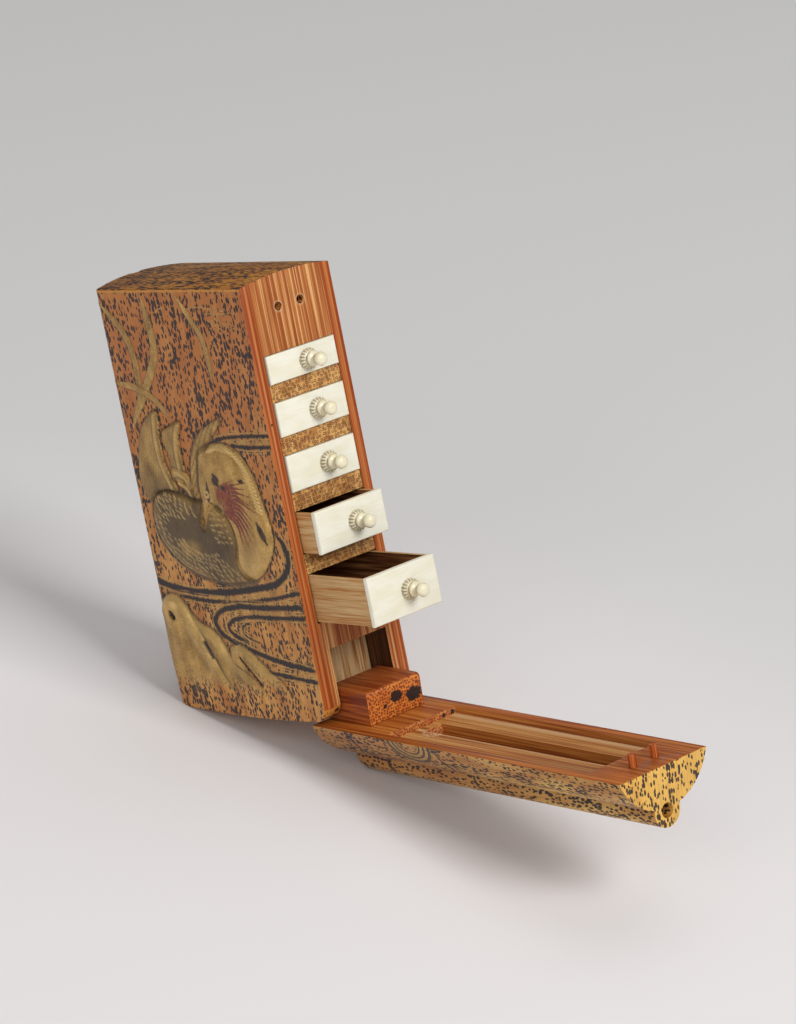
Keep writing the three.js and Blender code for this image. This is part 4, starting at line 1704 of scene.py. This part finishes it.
class DoorFace(IntEnum):
    """The door's finishes, by their numbers."""

    SKIN = 0
    RIM = 1
    FLOOR = 2
    GROOVE = 3
    CUT = 4
    END = 5


@dataclass
class Woodwork:
    """The bamboo and wooden pieces: finer copies of the large ones, and the small ones as they are."""

    model: Model

    def dress(self, node: str, material: bpy.types.Material) -> None:
        """Gives a CAD node its finish.

        Args:
            node: the CAD node's name.
            material: its finish.
        """
        slots = self.model.frame["nodes"][node].data.materials
        slots.clear()
        slots.append(material)
        log.info("%s: %s", node, material.name)

    def fit(self, piece: bpy.types.Object, node: str, body: str) -> None:
        """Stands a finer copy in for its CAD node.

        Args:
            piece: the finer copy.
            node: the CAD node that it replaces.
            body: the body that it rides on.
        """
        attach(piece, body)
        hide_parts(node)
        log.info("%s: %d faces", piece.name, len(piece.data.polygons))

    def finish_faces(
        self, piece: bpy.types.Object, axes: Axes, choose: Chooser, finishes: Sequence[Finish],
    ) -> None:
        """Gives each face one of several finishes by its place and the way it faces.

        Args:
            piece: the piece.
            axes: its own axes.
            choose: tells a finish's number from a face's middle and normal, both in own axes.
            finishes: the finishes, in the order of their numbers.
        """
        for finish in finishes:
            piece.data.materials.append(finish.build(axes))
        inverse = axes.to_model().inverted()
        for face in piece.data.polygons:
            middle = inverse @ face.center
            normal = (inverse.to_3x3() @ face.normal).normalized()
            face.material_index = choose(middle, normal)

    def case(self) -> None:
        """The case's shell: skin outside, bare bamboo on its front edge, its shaft painted dark as shade,
        its recess's back wall painted paler as lit, and its crown.
        """
        piece = fine_copy(self.model, "case_body", "case_shell", 0.2, self.model.case)

        def choose(middle: Vector, normal: Vector) -> CaseFace:
            """Tells what the case shows at one face.

            Args:
                middle: a face's middle, in own axes.
                normal: its normal, in own axes.

            Returns:
                The finish's number.
            """
            across = WELL_Y[0] < middle.y < WELL_Y[1] and middle.z < WELL_TOP
            within = across and WELL_X[0] < middle.x < WELL_X[1]
            # The shaft's faces take painted shade, and the recess's back wall a copy painted as lit.
            if within and (middle.z > RECESS_TOP or middle.x > RECESS_BACK):
                back = normal.x > 0.8 and middle.z < RECESS_TOP - 1
                return CaseFace.RECESS if back else CaseFace.SHAFT
            if middle.x > CASE_WIDTH - 0.4 and normal.x > 0.5 and middle.z > 3.0:
                return CaseFace.FRONT
            crown = normal.z > 0.4 and middle.z > CASE_HEIGHT - 1.4
            return CaseFace.CROWN if crown else CaseFace.SKIN

        self.finish_faces(piece, self.model.case, choose, (
            BambooSkin(),
            FrontEdge("front_edge_bamboo", "8A4319", "A8622F", "D09E64", (2.0, 0.42, 45.0)),
            # The case's own bamboo, painted much darker as the shade in the shaft.
            BambooHeart("shaft_wood_painted_shade", "2E180C", "4A2A16", "6A4022", (0.6, 0.6, 30.0)),
            BambooSkin("streaked_crown_skin", Speckles(
                Along.X, ("9A5C18", "B47620", "CC9032"), "A86A20", 0.0, 1.0, dash=(0.46, 2.0), size=0.47,
            ), 0.6, 0.0),
            # The same bamboo painted paler as the light on the recess's back wall.
            BambooHeart("recess_back_wood_painted_light", "9A6034", "C29A68", "D6B68A", (0.6, 0.4, 14.0)),
        ))
        self.fit(piece, "case_body", "case")

    def door(self) -> None:
        """The door: skin outside, bare bamboo inside, with its paler hollow and its dark groove."""
        piece = fine_copy(self.model, "door", "door_shell", 0.18)

        def choose(middle: Vector, normal: Vector) -> DoorFace:
            """Tells what the door shows at one face.

            Args:
                middle: a face's middle, in own axes.
                normal: its normal, in own axes.

            Returns:
                The finish's number.
            """
            depth = middle.x - DOOR_INNER_X
            along = middle.z + DOOR_HEEL
            if normal.z > 0.7 and along > 86:
                return DoorFace.END
            if normal.z > 0.7 and 18 < along < 24 and depth < GROOVE_FLOOR:
                return DoorFace.CUT
            within = HOLLOW_Y[0] < middle.y < HOLLOW_Y[1] and HOLLOW_Z[0] < along < HOLLOW_Z[1]
            if within and 0.3 < depth < GROOVE_FLOOR and normal.x < 0.2:
                floor = depth < HOLLOW_FLOOR and normal.x < -0.5
                return DoorFace.FLOOR if floor else DoorFace.GROOVE
            return DoorFace.RIM if normal.x < -0.7 and depth < 0.3 else DoorFace.SKIN

        self.finish_faces(piece, self.model.door, choose, (
            DoorSkin("door_bamboo_skin", Speckles(
                ground=("A8702E", "C29046", "D4AA5C"), red="B06C34", red_from=70.0, red_to=5.0,
                dash=(0.66, 1.25), size=0.41,
            )),
            BambooHeart("door_rim_bamboo", "7E3610", "A6561C", "C67E36", (0.5, 0.4, 34.0)),
            HollowFloor("door_hollow_bamboo", "8E4A1C", "B0702F", "C8955A", (0.5, 0.45, 34.0)),
            BambooHeart("door_groove_bamboo", "84441A", "A66022", "C48440", (0.5, 0.5, 34.0)),
            EndGrain("door_cut_bamboo", Along.Z, "BC7638", "A65A28", "7A3416", 0.62, hollow=False, knots=(
                (17.5, 4.1, 0.5, 0.45), (19.9, 4.1, 0.6, 0.5),
            )),
            BambooSkin("door_end_skin", Speckles(
                Along.X, ("CA9440", "E0B054", "EEC068"), "DCAA4E", 0.0, 1.0, dash=(0.66, 1.3), size=0.38,
            )),
        ))
        self.fit(piece, "door", "door")

    def drawer_box(self, number: int) -> None:
        """One drawer's box: pale streaked boards outside, dark inside.

        Args:
            number: the drawer's number, from the top.
        """
        node = f"drawer_{number}_box"
        low, high = self.model.own_box(node, self.model.case)
        piece = fine_copy(self.model, node, f"{node}_wood", 0.1)

        def choose(middle: Vector, normal: Vector) -> int:
            """Tells the inside, 1, from the outside, 0."""
            inside = low.x + 0.5 < middle.x < high.x - 0.5 and low.y + 0.5 < middle.y < high.y - 0.5
            return int(inside and low.z + 0.5 < middle.z < high.z - 0.05)

        self.finish_faces(piece, self.model.case, choose, (
            BambooHeart("drawer_wood", "A4602A", "BA925E", "C8A678", (14.0, 0.42, 0.42)),
            BambooHeart("drawer_inside_wood", "4A2814", "74492A", "9A6A40", (16.0, 0.5, 0.5)),
        ))
        self.fit(piece, node, f"drawer_{number}" if number > 3 else "case")

    def build(self) -> None:
        """Makes and dresses every wooden piece."""
        case, door = self.model.case, self.model.door
        self.case()
        self.door()
        end_grain = EndGrain("divider_end_grain", Along.X).build(case)
        for number in range(1, 5):
            self.dress(f"divider_{number}", end_grain)
        for number in range(1, 6):
            self.drawer_box(number)
        block = fine_copy(self.model, "hinge_block", "hinge_block_bamboo", 0.45)
        self.finish_faces(block, door, lambda middle, normal: 1 if normal.z > 0.6 else 0, (
            BambooHeart("block_bamboo", "6E2C0E", "96481C", "B0642C", (0.5, 0.45, 16.0)),
            EndGrain("block_end_grain", Along.Z, "D27C30", "BE6422", "702E10", 0.60, hollow=False, knots=(
                (12.1, -0.7, 1.5, 1.2), (16.7, 0.2, 2.1, 1.45), (9.0, 0.5, 0.5, 0.4),
            )),
        ))
        self.fit(block, "hinge_block", "door")
        peg = BambooHeart("peg_wood", "7E3412", "AC5420", "C87038", (20.0, 0.35, 0.35)).build(door)
        for node in ("hinge_pin", "locating_pin_near", "locating_pin_far"):
            self.dress(node, peg)


def main() -> None:
    """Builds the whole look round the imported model."""
    logging.basicConfig(level=logging.INFO, format="%(name)s: %(message)s")
    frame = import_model()
    model = Model(frame)
    room = Room(model)
    room.camera()
    room.floor()
    room.lights()
    Woodwork(model).build()
    skin = LacquerSkin(model).build()
    skin.data.materials.append(GoldLacquer().build(model.case))
    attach(skin, "case")
    log.info("lacquer skin: %d faces", len(skin.data.polygons))
    plate_finish = PolishedIvory("plate_ivory").build(model.case)
    knob_finish = PolishedIvory("knob_ivory", "E6DEC2", "D8CCA4").build(model.case)
    for number in range(1, 6):
        Drawer(model, number).build(plate_finish, knob_finish)


if __name__ == "__main__":
    main()
